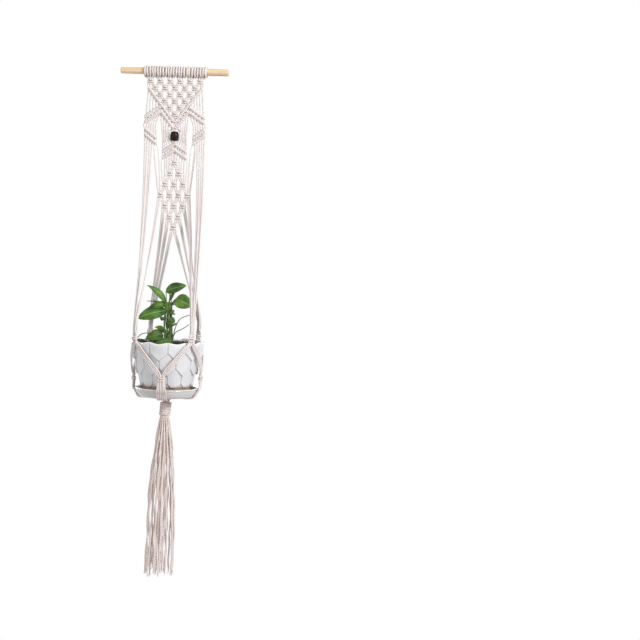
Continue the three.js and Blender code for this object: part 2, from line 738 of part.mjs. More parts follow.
addPart('upper_net', 'cotton', makeUpperNet().subtract(vGrown));
addPart('lower_net', 'cotton', makeLowerNet().subtract(chevronGrown).subtract(wingsGrown));
addPart('bead', 'bead', makeBead());
addPart('bead_cords', 'cotton', makeBeadCords().subtract(vGrown).subtract(chevronGrown));
for (const [name, side] of Object.entries(sides)) {
  addPart(`v_hitches_${name}`, 'cotton', makeVHitches(side));
  addPart(`wing_${name}`, 'cotton', makeWing(side).subtract(vGrown));
  addPart(`bead_arc_${name}`, 'cotton', makeArcs(side).subtract(vGrown).subtract(chevronGrown));
  addPart(`chevron_hitches_${name}`, 'cotton', makeChevron(side));
}

for (const [name, turn] of Object.entries(corners)) {
  const angle = turn * degrees;
  const side = Math.sign(turn);
  const front = Math.abs(turn) < 90;
  const neighbours = lowerNetGrown.add(wingsGrown).add(legKnot(angle, gap));
  addPart(`leg_${name}`, 'cotton', makeLeg(side, front).subtract(neighbours));
  addPart(`rim_knot_${name}`, 'cotton', legKnot(angle));
}
const saucer = makeSaucer();
for (const [face, turn] of Object.entries(faces)) {
  const angle = turn * degrees;
  const knotGrown = lowKnot(angle, gap);
  addPart(`saucer_knot_${face}`, 'cotton', lowKnot(angle));
  addPart(`saucer_run_${face}`, 'cotton', makeRun(angle).subtract(knotGrown).subtract(saucer));
  for (const [name, cornerTurn] of Object.entries(corners)) {
    const away = ((cornerTurn - turn + 540) % 360) - 180;
    if (Math.abs(away) > 45) continue;
    const from = angle + away * degrees;
    const sling = makeSling(from, angle).subtract(knotGrown).subtract(legKnot(from, gap));
    addPart(`sling_${name}_to_${face}`, 'cotton', sling);
  }
}

addPart('gathering_knot', 'cotton', makeGatheringKnot());
addPart('tassel', 'cotton', makeTassel());
addPart('saucer', 'glaze', saucer);
addPart('pot', 'glaze', makePot());
addPart('soil', 'soil', makeSoil());
addPart('plant', 'leaf', makePlant());

export default planter;
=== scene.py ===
# %% [markdown]
# # A hanging macrame planter
#
# Twelve long cotton cords are folded in half over a wooden dowel, which gives twenty-four strands.
# Every strand is tied into knots on its way down, is shared out to the four legs of a cradle, holds a
# saucer and its pot, and ends in the tassel. This lesson follows the twenty-four strands from the dowel
# to the tassel, turns their routes into cord, and then makes the pot, its saucer, the soil, the plant,
# the bead and the dowel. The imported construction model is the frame: everything is placed from it.

# %% Load the frame
import math
import random

import bmesh
import bpy
import numpy as np
from mathutils import Matrix, Vector


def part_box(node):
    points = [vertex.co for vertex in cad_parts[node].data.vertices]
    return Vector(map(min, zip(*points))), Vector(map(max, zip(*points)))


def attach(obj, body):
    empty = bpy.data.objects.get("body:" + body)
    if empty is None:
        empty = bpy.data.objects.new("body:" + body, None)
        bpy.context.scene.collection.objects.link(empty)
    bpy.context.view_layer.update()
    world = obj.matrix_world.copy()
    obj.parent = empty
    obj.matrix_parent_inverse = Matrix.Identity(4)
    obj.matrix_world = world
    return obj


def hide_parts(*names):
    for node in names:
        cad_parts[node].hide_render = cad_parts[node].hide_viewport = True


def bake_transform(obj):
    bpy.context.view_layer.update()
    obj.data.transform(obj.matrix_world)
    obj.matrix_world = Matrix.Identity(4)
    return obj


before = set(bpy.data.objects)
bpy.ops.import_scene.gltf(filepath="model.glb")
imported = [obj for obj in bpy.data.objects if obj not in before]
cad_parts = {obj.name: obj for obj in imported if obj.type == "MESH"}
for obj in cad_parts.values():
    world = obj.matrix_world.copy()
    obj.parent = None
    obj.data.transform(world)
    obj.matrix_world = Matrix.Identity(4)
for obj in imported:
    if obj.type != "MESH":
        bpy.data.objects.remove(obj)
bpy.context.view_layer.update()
scene = bpy.context.scene
scene.view_settings.view_transform = "Standard"

# %% [markdown]
# ## The camera
#
# The planter hangs a long way from the lens, so that its long tassel and its dowel are seen nearly
# square on. The camera stands a little to the right and points a little to the left and down. It could
# be aimed by a constraint, but as plain angles each turn can be set without moving the others. It is
# made first, because everything after it is judged through it.

# %% Camera
MM = 0.001
CAMERA_TURN = math.radians(9.25)  # round the planter, from straight in front towards its right
CAMERA_DISTANCE = 3.2
CAMERA_HEIGHT = -0.32
CAMERA_HEADING = math.radians(-5.83)  # turned away from the dowel, which stands left of the middle
CAMERA_TILT = math.radians(-3.56)
CAMERA_ROLL = math.radians(1.83)
CAMERA_LENS = 83.7
CAMERA_REACH = 50  # metres that it sees


def put_in_scene(name, data):
    thing = bpy.data.objects.new(name, data)
    scene.collection.objects.link(thing)
    return thing


def make_camera():
    data = bpy.data.cameras.new("camera")
    data.lens = CAMERA_LENS
    data.clip_end = CAMERA_REACH
    camera = put_in_scene("camera", data)
    heading = CAMERA_TURN + CAMERA_HEADING
    forward = Vector((
        -math.sin(heading) * math.cos(CAMERA_TILT),
        math.cos(heading) * math.cos(CAMERA_TILT),
        math.sin(CAMERA_TILT),
    ))
    level = forward.cross(Vector((0, 0, 1))).normalized()
    upright = level.cross(forward)
    right = level * math.cos(CAMERA_ROLL) + upright * math.sin(CAMERA_ROLL)
    up = upright * math.cos(CAMERA_ROLL) - level * math.sin(CAMERA_ROLL)
    camera.rotation_mode = "QUATERNION"
    axes = np.array([right, up, -forward]).T
    camera.rotation_quaternion = Matrix(axes.tolist()).to_quaternion()
    camera.location = (
        math.sin(CAMERA_TURN) * CAMERA_DISTANCE,
        -math.cos(CAMERA_TURN) * CAMERA_DISTANCE,
        CAMERA_HEIGHT,
    )
    return camera


scene.camera = make_camera()
print("camera at", [round(v, 3) for v in scene.camera.location])

# %% [markdown]
# ## Node trees
#
# Cord, pot scales, crumbs of soil and the tassel's frayed ends all repeat a shape along a path or over
# a surface. Loops could lay out every face of them, but Geometry Nodes are made for that, and they are
# faster. These helpers write a tree from the script, run it once on an object and keep the plain mesh
# that comes out. A wire stands for a link between two nodes, and it can be written into a formula.

# %% Helpers that write a tree
SOCKETS = {"value": "NodeSocketFloat", "count": "NodeSocketInt", "material": "NodeSocketMaterial"}


def new_tree(name, inputs):
    """A Geometry Nodes tree with a geometry socket each way and the named inputs."""
    tree = bpy.data.node_groups.new(name, "GeometryNodeTree")
    tree.interface.new_socket("Geometry", in_out="INPUT", socket_type="NodeSocketGeometry")
    for label, kind in inputs.items():
        tree.interface.new_socket(label, in_out="INPUT", socket_type=SOCKETS[kind])
    tree.interface.new_socket("Geometry", in_out="OUTPUT", socket_type="NodeSocketGeometry")
    return tree


def add_node(tree, kind, links=None, **settings):
    """A node with its settings; links gives each input, by name or number, a value or a wire."""
    node = tree.nodes.new(kind)
    for name, value in settings.items():
        setattr(node, name, value)
    for name, value in (links or {}).items():
        if isinstance(name, str):  # some nodes have one socket of this name for each type of data
            socket = next(s for s in node.inputs if s.name == name and s.enabled)
        else:
            socket = node.inputs[name]
        if isinstance(value, Wire):
            value.into(socket)
        else:
            socket.default_value = value
    return node


def wire(tree, kind, links=None, **settings):
    """Adds a node and takes the wire that leaves its first socket."""
    return Wire(tree, add_node(tree, kind, links, **settings).outputs[0])


class Wire:
    """What leaves a node's socket. Sums and products of wires add the nodes that work them out."""

    def __init__(self, tree, socket):
        self.tree, self.socket = tree, socket

    def into(self, socket):
        self.tree.links.new(self.socket, socket)

    def through(self, operation, other=0.0):
        return wire(self.tree, "ShaderNodeMath", {0: self, 1: other}, operation=operation)

    def __add__(self, other):
        return self.through("ADD", other)

    def __sub__(self, other):
        return self.through("SUBTRACT", other)

    def __rsub__(self, other):
        return wire(self.tree, "ShaderNodeMath", {0: other, 1: self}, operation="SUBTRACT")

    def __mul__(self, other):
        return self.through("MULTIPLY", other)

    def __truediv__(self, other):
        return self.through("DIVIDE", other)

    def at_most(self, other):
        return self.through("MINIMUM", other)

    def at_least(self, other):
        return self.through("MAXIMUM", other)


# %% Helpers that many trees share
def wires_of(tree, kind, links=None):
    """Adds a node and takes all its wires by their names."""
    return {socket.name: Wire(tree, socket) for socket in add_node(tree, kind, links).outputs}


def split(tree, vector):
    return wires_of(tree, "ShaderNodeSeparateXYZ", {0: vector}).values()


def named(tree, name, kind="FLOAT"):
    """What the geometry carries at each point under a name."""
    return wire(tree, "GeometryNodeInputNamedAttribute", {"Name": name}, data_type=kind)


def store(tree, geometry, name, value, kind="FLOAT"):
    """The geometry, with the value kept at each point under a name."""
    links = {"Geometry": geometry, "Name": name, "Value": value}
    return wire(tree, "GeometryNodeStoreNamedAttribute", links, data_type=kind, domain="POINT")


def end_tree(tree, geometry, finish, smooth=True):
    """Makes every copy real, because an export leaves copies out, and gives the finish."""
    real = wire(tree, "GeometryNodeRealizeInstances", {"Geometry": geometry})
    if smooth:
        real = wire(tree, "GeometryNodeSetShadeSmooth", {"Geometry": real})
    done = wire(tree, "GeometryNodeSetMaterial", {"Geometry": real, "Material": finish})
    add_node(tree, "NodeGroupOutput", {"Geometry": done})


# %% Helpers that run a tree
def run_tree(piece, tree, values):
    """Puts the tree on the piece, sets its inputs by their identifiers, and keeps the plain mesh."""
    modifier = piece.modifiers.new(tree.name, "NODES")
    modifier.node_group = tree
    for item in tree.interface.items_tree:
        if item.in_out == "INPUT" and item.name in values:
            modifier[item.identifier] = values[item.name]
    depsgraph = bpy.context.evaluated_depsgraph_get()
    mesh = bpy.data.meshes.new_from_object(
        piece.evaluated_get(depsgraph), preserve_all_data_layers=True, depsgraph=depsgraph)
    piece.modifiers.clear()
    rough = piece.data
    piece.data = mesh
    mesh.name = piece.name
    bpy.data.meshes.remove(rough)
    return piece


def faces_outwards(piece):
    """Turns a piece's faces round if the volume that they enclose comes out negative."""
    mesh = piece.data
    mesh.calc_loop_triangles()
    corners = np.array([v.co for v in mesh.vertices])
    triangles = np.array([t.vertices for t in mesh.loop_triangles])
    a, b, c = (corners[triangles[:, n]] for n in range(3))
    if np.einsum("ij,ij->i", a, np.cross(b, c)).sum() < 0:
        mesh.flip_normals()
    return piece


def keep_values(mesh, label, values):
    """Keeps a number at every point of a mesh, where a tree can read it."""
    layer = mesh.attributes.new(label, "FLOAT", "POINT").data
    layer.foreach_set("value", np.array(values, np.float32))


# %% [markdown]
# ## One strand
#
# A strand is kept as a list of points in millimetres, each with the strand's radius there, because
# cotton is squeezed thin inside a knot. Each point also says which part of the planter it belongs to.
# Each knot could be modelled as a shape of its own, but the strands wouldn't run on from one to the
# next. A smooth curve through all the points makes one unbroken cord, and it is cut into parts only
# afterwards, so nothing shows where one part ends and the next begins.

# %% Strands and knots' places
STRANDS = 24
LOOSE = 1.9  # radius of a free strand
LEAN = [(0, 2.3), (-110, 2.6), (-180, 4.3), (-331, 6.0), (-565, 0), (-698, 0), (-733, -2.6), (-1083, -6.5)]
routes = [[] for _ in range(STRANDS)]


def lean(z):
    """How far the cords have drifted aside at a height: nothing that is tied by hand hangs true."""
    heights, steps = zip(*reversed(LEAN))
    return float(np.interp(z, heights, steps))


def middle_of(node):
    low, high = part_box(node)
    return (low + high) / (2 * MM)


def foot_of(node):
    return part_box(node)[0].z / MM


def lay(strand, part, points):
    """Adds points (x, y, z, radius) to a strand's route. A point without a radius is a free one."""
    for x, y, z, *radius in points:
        routes[strand].append((part, x + lean(z), y, z, radius[0] if radius else LOOSE))


rail_low, rail_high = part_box("dowel")
RAIL_RADIUS = (rail_high.z - rail_low.z) / (2 * MM)
LARK_X = [middle_of(f"lark_head_{number:02d}").x for number in range(1, 13)]
LARK_PITCH = LARK_X[1] - LARK_X[0]
print("dowel radius", round(RAIL_RADIUS, 2), "mm; heads every", round(LARK_PITCH, 2), "mm")

# %% [markdown]
# ## Lark's heads
#
# Each cord is folded in half, and its fold goes round the dowel from the front, so that the short bar of
# the fold lies at the back. From the front only two upright turns show for each cord, with the wood
# between them. The two halves then hang down behind the dowel. A bent tube could stand for a turn, but
# a route of angles round the dowel also gives the fold and the way down. A few random numbers, from a
# fixed seed, keep the twelve heads from looking stamped.

# %% Twelve cords on the dowel
PRESSED = 2.35  # the cord flattens where it is pulled round the dowel
FOLD_RADIUS = 1.75
TURN_RADIUS = RAIL_RADIUS + 0.92 * PRESSED
HEAD_STEP = 1.03  # the heads sit a little further apart than the net pulls them
FOLD_BACK = RAIL_RADIUS + 2.9 * LOOSE
HEAD_TURN = [  # degrees round the dowel, and how far aside of the head's middle
    (-110, 3.5), (-65, 2.8), (-25, 2.3), (20, 2.2), (60, 2.2), (100, 2.2), (140, 2.1), (180, 2.0), (203, 2.0),
]


def round_rail(degrees, radius):
    """y and z on a circle round the dowel: 0 is its front, 90 its top and 180 its back."""
    angle = math.radians(degrees)
    return -radius * math.cos(angle), radius * math.sin(angle)


def lark_half(head_x, side, spread, slant):
    """One half of a lark's head, from the middle of its fold to where it hangs down."""
    points = [
        (head_x - side * 0.2, FOLD_BACK, -4.0, FOLD_RADIUS),
        (head_x + side * 2.2, FOLD_BACK - 0.3, -4.6, FOLD_RADIUS),
        (head_x + side * 4.0, FOLD_BACK - 2.6, -7.2, FOLD_RADIUS),
    ]
    for degrees, out in HEAD_TURN:
        y, z = round_rail(degrees, TURN_RADIUS + (0.4 if degrees < -90 else 0))
        points.append((head_x + side * out * spread + slant * z / RAIL_RADIUS, y, z, PRESSED))
    return points + [(head_x + side * 2.1, 6.4, -8.6), (head_x + side * 2.4, 3.2, -12.2)]


uneven = random.Random(3)
for number, head_x in enumerate(LARK_X):
    head_x = head_x * HEAD_STEP + uneven.uniform(-0.7, 0.7)
    spread = uneven.uniform(0.9, 1.35)
    slant = uneven.uniform(-0.5, 0.5)
    for side in (-1, 1):
        lay(2 * number + (side > 0), f"lark_head_{number + 1:02d}", lark_half(head_x, side, spread, slant))
print("lark's heads:", len(LARK_X), "with", len(routes[0]), "points in each half")

# %% [markdown]
# ## Square knots
#
# A square knot ties four strands: the outer two work round the inner two. The left one crosses in front,
# passes behind and comes back to its own side, and the right one does the same the other way. Real knots
# could be settled by a cloth or rope simulation, which is slow and seldom holds, so both routes are
# written once, for a knot as wide as a thumb nail, and stretched to each knot's size.

# %% A square knot
LEFT_WORKER = [
    (-5.0, 0.0, 7.5), (-4.6, 0.5, 4.4), (-2.4, -2.6, 3.6), (1.6, -3.0, 2.9), (4.4, -0.4, 1.8),
    (5.3, 0.9, 0.4), (4.4, -0.4, -0.9), (2.2, -2.8, -1.3), (-1.8, -3.0, -2.0), (-4.2, -0.2, -2.6),
    (-5.2, 0.9, -3.8), (-5.0, 0.0, -7.5),
]
RIGHT_WORKER = [
    (5.0, 0.0, 7.5), (5.0, -1.2, 3.6), (4.7, -2.3, 1.9), (3.3, 0.4, 0.9), (1.4, 2.9, 0.9),
    (-1.4, 2.9, 1.2), (-3.6, 0.8, 1.1), (-5.0, -0.9, 0.2), (-4.8, -2.3, -1.9), (-3.3, 0.3, -3.2),
    (-1.4, 2.9, -3.1), (1.4, 2.9, -2.8), (3.6, 0.8, -3.0), (5.0, -0.6, -4.0), (5.0, 0.0, -7.5),
]
CORE_LEVELS = (7.5, 3.4, -3.4, -7.5)  # where the inner strands enter, are squeezed, are let go, and leave
WORKER_RADIUS = 1.75
CORES = {2: (1.4, 3.0, 0), 4: (1.25, 2.1, 0.8)}  # for two or four: radius, pitch, and how far staggered


def outward(angle):
    """The way out from the planter's middle at an angle, which is 0 at its front."""
    return np.array([math.sin(angle), -math.cos(angle), 0.0])


def across(angle):
    return np.array([math.cos(angle), math.sin(angle), 0.0])


def square_knot(tied, part, centre, angle=0.0, width=1.0, depth=1.0, height=1.0):
    """Ties strands, given from left to right, into a square knot that faces the angle."""
    def place(points, radius):
        placed = []
        for index, (x, y, z) in enumerate(points):
            free = index in (0, len(points) - 1)
            spot = np.array(centre, float) + across(angle) * x * width - outward(angle) * y * depth
            spot[2] += z * height
            placed.append((*spot, LOOSE if free else radius))
        return placed

    lay(tied[0], part, place(LEFT_WORKER, WORKER_RADIUS))
    lay(tied[-1], part, place(RIGHT_WORKER, WORKER_RADIUS))
    cores = tied[1:-1]
    core_radius, pitch, stagger = CORES[len(cores)]
    for index, strand in enumerate(cores):
        x = (index - (len(cores) - 1) / 2) * pitch
        y = stagger * (-1) ** index
        lay(strand, part, place([(x, y, z) for z in CORE_LEVELS], core_radius))


# %% [markdown]
# ## The upper net
#
# Six rows of square knots, with one knot fewer in each row, make a triangle that hangs from the dowel.
# Each knot takes two strands from each of the two knots above it. An array of one knot would give the
# same rows, but two loops also know which four strands each knot ties.

# %% Six rows of knots
KNOT_HEIGHT = 12
UPPER_ROWS = 6
UPPER_ROW_PITCH = 14
NET_SQUEEZE = 0.97  # the net pulls in a little below the dowel
LAST_UPPER_Z = foot_of("upper_net") + KNOT_HEIGHT / 2


def upper_row_z(row):
    return LAST_UPPER_Z + (UPPER_ROWS - 1 - row) * UPPER_ROW_PITCH


for row in range(UPPER_ROWS):
    for knot in range(UPPER_ROWS - row):
        first = 2 * row + 4 * knot
        x = (knot - (UPPER_ROWS - 1 - row) / 2) * 2 * LARK_PITCH * NET_SQUEEZE
        square_knot(list(range(first, first + 4)), "upper_net", (x, 0, upper_row_z(row)),
                    width=1.2, height=0.92)
print("upper net:", UPPER_ROWS * (UPPER_ROWS + 1) // 2, "knots")

# %% [markdown]
# ## Rows of double half hitches
#
# The bold ribs of the panel are rows of double half hitches. One strand, the holding cord, is held
# straight, and every other strand makes two tight turns round it. Two rings for each worker would look
# alike from the front only. The turns are written for a worker that comes from above, goes behind the
# holding cord, round it twice, and leaves behind it below, and each row sets them along its own line.

# %% A row of hitches
HITCH_TURNS = [  # along the holding cord, in quarters of the room for one worker; depth; height
    (-0.8, 2.9, 3.2), (-1.0, 2.9, 0.3), (-1.05, 0.2, -2.75), (-1.0, -2.75, 0.0), (-0.75, 0.0, 2.75),
    (0.1, 2.8, 0.3), (0.95, 0.6, -2.75), (1.02, -2.75, -0.1), (0.85, 0.0, 2.75), (0.3, 4.4, 1.6),
    (0.1, 5.2, -0.8), (0.0, 3.2, -3.6),
]
TURN_DEPTH = 2.75  # of the turns in that list
FREE_DEPTH = 2.85  # past it the worker comes from behind the holding cord or goes there
HOLDING_RADIUS = 1.15
WRAP_FILL = 1.28  # how far a wrap fills, and overfills, its room along the holding cord
THICKEST_WRAP = 2.7
RIB_RADIUS = 4.55
SIDES = {"left": -1, "right": 1}


def hitch_row(part, holding, workers, start, end):
    """The holding strand runs from start to end, (x, z), and each worker is hitched to it on the way."""
    start, end = np.array(start, float), np.array(end, float)
    length = np.linalg.norm(end - start)
    along = (end - start) / length
    over = np.array([-along[1], along[0]])
    if over[1] < 0:
        over = -over
    room = length / len(workers)
    wrap_radius = min(THICKEST_WRAP, room / 4 * WRAP_FILL)
    tight = (RIB_RADIUS - wrap_radius) / TURN_DEPTH
    for place, worker in enumerate(workers):
        middle = start + along * room * (place + 0.5)
        points = []
        for share, depth, height in HITCH_TURNS:
            x, z = middle + along * share * room / 4 + over * height * tight
            if depth > FREE_DEPTH:
                points.append((x, depth, z, min(wrap_radius, LOOSE)))
            else:
                points.append((x, depth * tight, z, wrap_radius))
        lay(worker, part, points)
    points = [start, (start * 2 + end) / 3, (start + end * 2) / 3, end]
    lay(holding, part, [(x, 0, z, HOLDING_RADIUS) for x, z in points])


# %% The same on either side
def mirrored(side, strand):
    """The left half's strand as it is, or its twin in the right half."""
    return strand if side < 0 else STRANDS - 1 - strand


def lay_aside(side, strand, part, points):
    """Lays one of the left half's strands or its twin; x is measured outwards from the middle."""
    lay(mirrored(side, strand), part, [(side * x, *rest) for x, *rest in points])


def hitch_aside(side, part, holding, workers, line):
    (start_x, start_z), (end_x, end_z) = line
    hitch_row(part, mirrored(side, holding), [mirrored(side, worker) for worker in workers],
              (side * start_x, start_z), (side * end_x, end_z))


def lowered(line, fall):
    return [(x, z - fall) for x, z in line]


def between(start, end, share):
    return start + (end - start) * share


# %% [markdown]
# ## The V
#
# Where a row of the net gives up its outer strands, they are hitched to the V, which runs along the edge
# of the net down to its point. The inner half of the V has a second row. Left and right are tied alike,
# so each row is written once, for the left half's strands, and laid again for their twins.

# %% The V
V_OUTER = (LARK_X[-1] * 0.96, upper_row_z(0) - 13)
V_POINT = (0.6, upper_row_z(UPPER_ROWS - 1) - 16)
V_SLOPE = (V_OUTER[1] - V_POINT[1]) / (V_OUTER[0] - V_POINT[0])
V_SECOND_X = 30
V_SECOND_END = V_POINT[0] + 0.8
V_ROW_FALL = 14.4  # from the first row straight down to the second


def v_line(x, row=0):
    return V_POINT[1] + (x - V_POINT[0]) * V_SLOPE - row * V_ROW_FALL


for name, side in SIDES.items():
    part = f"v_hitches_{name}"
    hitch_aside(side, part, 0, range(1, 12), [V_OUTER, V_POINT])
    lay_aside(side, 7, part, [(V_SECOND_X + 3, 3.4, v_line(V_SECOND_X + 3, 1) + 1, 1.7)])
    hitch_aside(side, part, 7, (8, 9, 10, 11, 0),
                [(V_SECOND_X, v_line(V_SECOND_X, 1)), (V_SECOND_END, v_line(V_SECOND_END, 1))])
print("the V's point is at", round(V_POINT[1]), "mm")

# %% [markdown]
# ## The two wings
#
# The outer six strands of each side go on to the wing: two rows of hitches outwards, a fan round the tip,
# and two rows back in. The strand that held one row works in the next, as it does when it is tied, so
# the same two functions make all four rows, and only the order of the strands changes.

# %% The wings
WING_TOP = [(31, V_POINT[1] + 33), (64, V_POINT[1] + 10)]
WING_FOOT = [(64, V_POINT[1] - 14), (39, V_POINT[1] - 34)]
WING_TOP_FALL = 11.2
WING_FOOT_FALL = 11.5
WING_FALL = 21  # from the wing's inner end to its outer one, where the strands arrive from the V
V_SHARE = 0.55  # how near to the V, on the way to the wing, the strands are guided


def fan(side, part, strand, share):
    """Carries a strand round the wing's tip; share is 0 for the innermost and 1 for the outermost."""
    (top_in, top_in_z), (top_out, top_out_z) = WING_TOP
    (foot_out, foot_out_z), (foot_in, foot_in_z) = WING_FOOT
    x = max(between(top_in, top_out, share), between(foot_in, foot_out, share)) + 2.0 * share ** 2
    top_z = between(top_in_z, top_out_z, share) - WING_TOP_FALL
    lay_aside(side, strand, part, [(x, 0.6, (top_z + between(foot_in_z, foot_out_z, share)) / 2)])


for name, side in SIDES.items():
    part = f"wing_{name}"
    for strand in range(1, 7):  # from the V down to the wing
        v_x = V_OUTER[0] * (1 - (strand - 0.5) / 11)
        share = (6 - strand) / 5
        top_x = between(WING_TOP[0][0], WING_TOP[1][0], share)
        top_z = WING_TOP[0][1] - WING_FALL * share
        x, z = between(top_x, v_x, V_SHARE), between(top_z, v_line(v_x), V_SHARE)
        lay_aside(side, strand, part, [(x, 1.4, z)])
    hitch_aside(side, part, 6, (5, 4, 3, 2, 1), WING_TOP)
    hitch_aside(side, part, 5, (4, 3, 2, 1, 6), lowered(WING_TOP, WING_TOP_FALL))
    for order, strand in enumerate((4, 3, 2, 1, 6, 5)):
        fan(side, part, strand, (order + 0.3) / 5.3)
    hitch_aside(side, part, 5, (6, 1, 2, 3, 4), WING_FOOT)
    hitch_aside(side, part, 6, (1, 2, 3, 4, 5), lowered(WING_FOOT, WING_FOOT_FALL))
print("the wings reach", WING_TOP[1][0], "mm out")

# %% [markdown]
# ## The bead and the diamond round it
#
# The two strands that end at the point of the V go through the bead. Five strands pass it on each side,
# and all of them meet again in the inverted V below it. Hanging strands need few points: one or two on
# each strand keep them clear of the bead, and the smooth curve does the rest.

# %% Strands through the bead and round it
BEAD = middle_of("bead")
BORE_X = 1.75  # the two strands lie side by side in the bead's bore
BORE_STRAND = 1.7
ARC_X = 11.7
ARC_PITCH = 3.4
CHEVRON = [(0.8, V_POINT[1] - 46), (26, V_POINT[1] - 63)]
CHEVRON_FALL = 13.1
ARC_STRANDS = (0, 11, 10, 9, 8)  # from the bead outwards
for name, side in SIDES.items():
    lay_aside(side, 7, "bead_cords", [(BORE_X, 0, BEAD.z + above, BORE_STRAND) for above in (9, 0, -10)])
    part = f"bead_arc_{name}"
    for order, strand in enumerate(ARC_STRANDS):
        x = ARC_X + ARC_PITCH * order
        if order == 0:  # round the back of the bead's shoulder
            lay_aside(side, strand, part, [(7, 5, BEAD.z + 14.8), (10.9, 3.4, BEAD.z + 11)])
        lay_aside(side, strand, part, [(x, 0, BEAD.z + 8 - 1.5 * order), (x, 0, BEAD.z - 5 - 2.2 * order)])
    part = f"chevron_hitches_{name}"
    hitch_aside(side, part, 7, ARC_STRANDS, CHEVRON)
    hitch_aside(side, part, 0, (11, 10, 9, 8, 7), lowered(CHEVRON, CHEVRON_FALL))
print("the bead's middle is at", round(BEAD.z, 1), "mm")

# %% [markdown]
# ## The lower net
#
# Twelve strands make a diamond of looser square knots. In its widest row, the outer knots also take two
# strands from each wing. Below that row the net gives two strands at a time to the back legs. The same
# function ties these knots, with a little more room, and a short list says how many are in each row.

# %% A diamond of looser knots
NET_STRANDS = [0, 7, 8, 9, 10, 11, 12, 13, 14, 15, 16, 23]
LOWER_ROWS = [1, 2, 3, 4, 3, 2, 1]
LOWER_KNOT_PITCH = 19
LOWER_ROW_PITCH = 23
LAST_LOWER_Z = foot_of("lower_net") + KNOT_HEIGHT / 2
last_row = len(LOWER_ROWS) - 1
for row, count in enumerate(LOWER_ROWS):
    z = LAST_LOWER_Z + (last_row - row) * LOWER_ROW_PITCH
    for knot in range(count):
        x = (knot - (count - 1) / 2) * LOWER_KNOT_PITCH
        first = 4 - 2 * min(row, last_row - row) + 4 * knot
        tied = [NET_STRANDS[n] for n in range(first, first + 4) if 0 <= n < len(NET_STRANDS)]
        if count == max(LOWER_ROWS) and knot == 0:
            tied = [5, 6, *tied]
        if count == max(LOWER_ROWS) and knot == count - 1:
            tied = [*tied, 17, 18]
        square_knot(tied, "lower_net", (x, 0, z), width=1.16, depth=1.1, height=1.16)
print("lower net:", sum(LOWER_ROWS), "knots, the lowest at", round(LAST_LOWER_Z), "mm")

# %% [markdown]
# ## The legs
#
# Four legs of six strands come down round the plant, and each ends in a square knot at the pot's rim. The
# six strands of a leg come from all over the nets, so each goes straight from where it left its last knot
# to its place in the bundle, in three columns of two. Cords under load hang straight, so a few points do.

# %% Legs and rim knots
CORNERS = {"front_left": -45, "front_right": 45, "back_right": 138, "back_left": -144}
FACES = {"front": 0, "right": 90, "back": 180, "left": -90}
LEG_STRANDS = {
    "front_left": [1, 2, 3, 4, 5, 6],
    "front_right": [17, 18, 19, 20, 21, 22],
    "back_left": [11, 10, 9, 8, 7, 0],
    "back_right": [23, 16, 15, 14, 13, 12],
}
RIM_KNOT = middle_of("rim_knot_front_left")
RIM_KNOT_RADIUS = math.hypot(RIM_KNOT.x, RIM_KNOT.y) + 0.9  # room for the pot's rim when it is lifted
BUNDLE_RISE = 30  # above the knot, where the six strands have come together
BUNDLE_PITCH = (3.3, 3.0)  # across the bundle and through it
for name, degrees in CORNERS.items():
    angle = math.radians(degrees)
    foot = outward(angle) * RIM_KNOT_RADIUS
    for order, strand in enumerate(LEG_STRANDS[name]):
        _, x, y, z, _ = routes[strand][-1]
        top = np.array([x - lean(z), y, z])
        column, layer = order // 2 - 1, order % 2 - 0.5
        spot = foot + across(angle) * column * BUNDLE_PITCH[0] + outward(angle) * layer * BUNDLE_PITCH[1]
        low = np.array([spot[0], spot[1], RIM_KNOT.z + BUNDLE_RISE])
        points = [between(top, low, share) for share in (0.06, 0.3, 0.65)]
        points[0] += np.array([0, -1.2, 0])
        lay(strand, f"leg_{name}", points + [(*low, 1.8), (spot[0], spot[1], RIM_KNOT.z + 14, 1.7)])
    square_knot(LEG_STRANDS[name], f"rim_knot_{name}", (foot[0], foot[1], RIM_KNOT.z), angle,
                width=1.25, depth=1.2, height=1.05)
print("rim knots", round(RIM_KNOT_RADIUS, 1), "mm out, at", round(RIM_KNOT.z), "mm")

# %% [markdown]
# ## The cradle's slings
#
# Below the rim knots, three strands of a leg go each way and meet the neighbour's three in a knot at the
# saucer. Lines straight from knot to knot would cut into the pot, so each sling is a path round it: its
# angle and its height change evenly, and its distance from the middle follows the height.

# %% Slings and saucer knots
LOW_KNOT = middle_of("saucer_knot_front")
LOW_KNOT_RADIUS = -LOW_KNOT.y
LOW_KNOT_LIFT = {"front": 5, "right": 4, "back": 1, "left": 0}  # tied by eye, not all at one height
SLING_CLEAR = 5  # a sling begins this far below its rim knot's middle and ends this far above the other's
BAND_PITCH = 3.7
FACE_CORNERS = {
    "front": ("front_left", "front_right"), "right": ("front_right", "back_right"),
    "back": ("back_right", "back_left"), "left": ("back_left", "front_left"),
}
face_strands = {}


def sling(strands, part, start, end, knot_z, knot_radius):
    """Three strands side by side, from a rim knot to a saucer knot, both given as angles."""
    way = 1 if end > start else -1
    slope = math.atan2(RIM_KNOT.z - knot_z, RIM_KNOT_RADIUS * abs(end - start))
    for order, strand in enumerate(strands):
        offset = (order - 1) * BAND_PITCH
        for share in (0.17, 0.34, 0.5, 0.66, 0.83):
            z = between(RIM_KNOT.z - SLING_CLEAR, knot_z + SLING_CLEAR, share)
            radius = between(RIM_KNOT_RADIUS, knot_radius, (RIM_KNOT.z - z) / (RIM_KNOT.z - knot_z))
            turn = between(start, end, share) + offset * math.sin(slope) / radius
            x, y, _ = outward(turn) * radius
            lay(strand, part, [(x, y, z + offset * math.cos(slope) * way)])


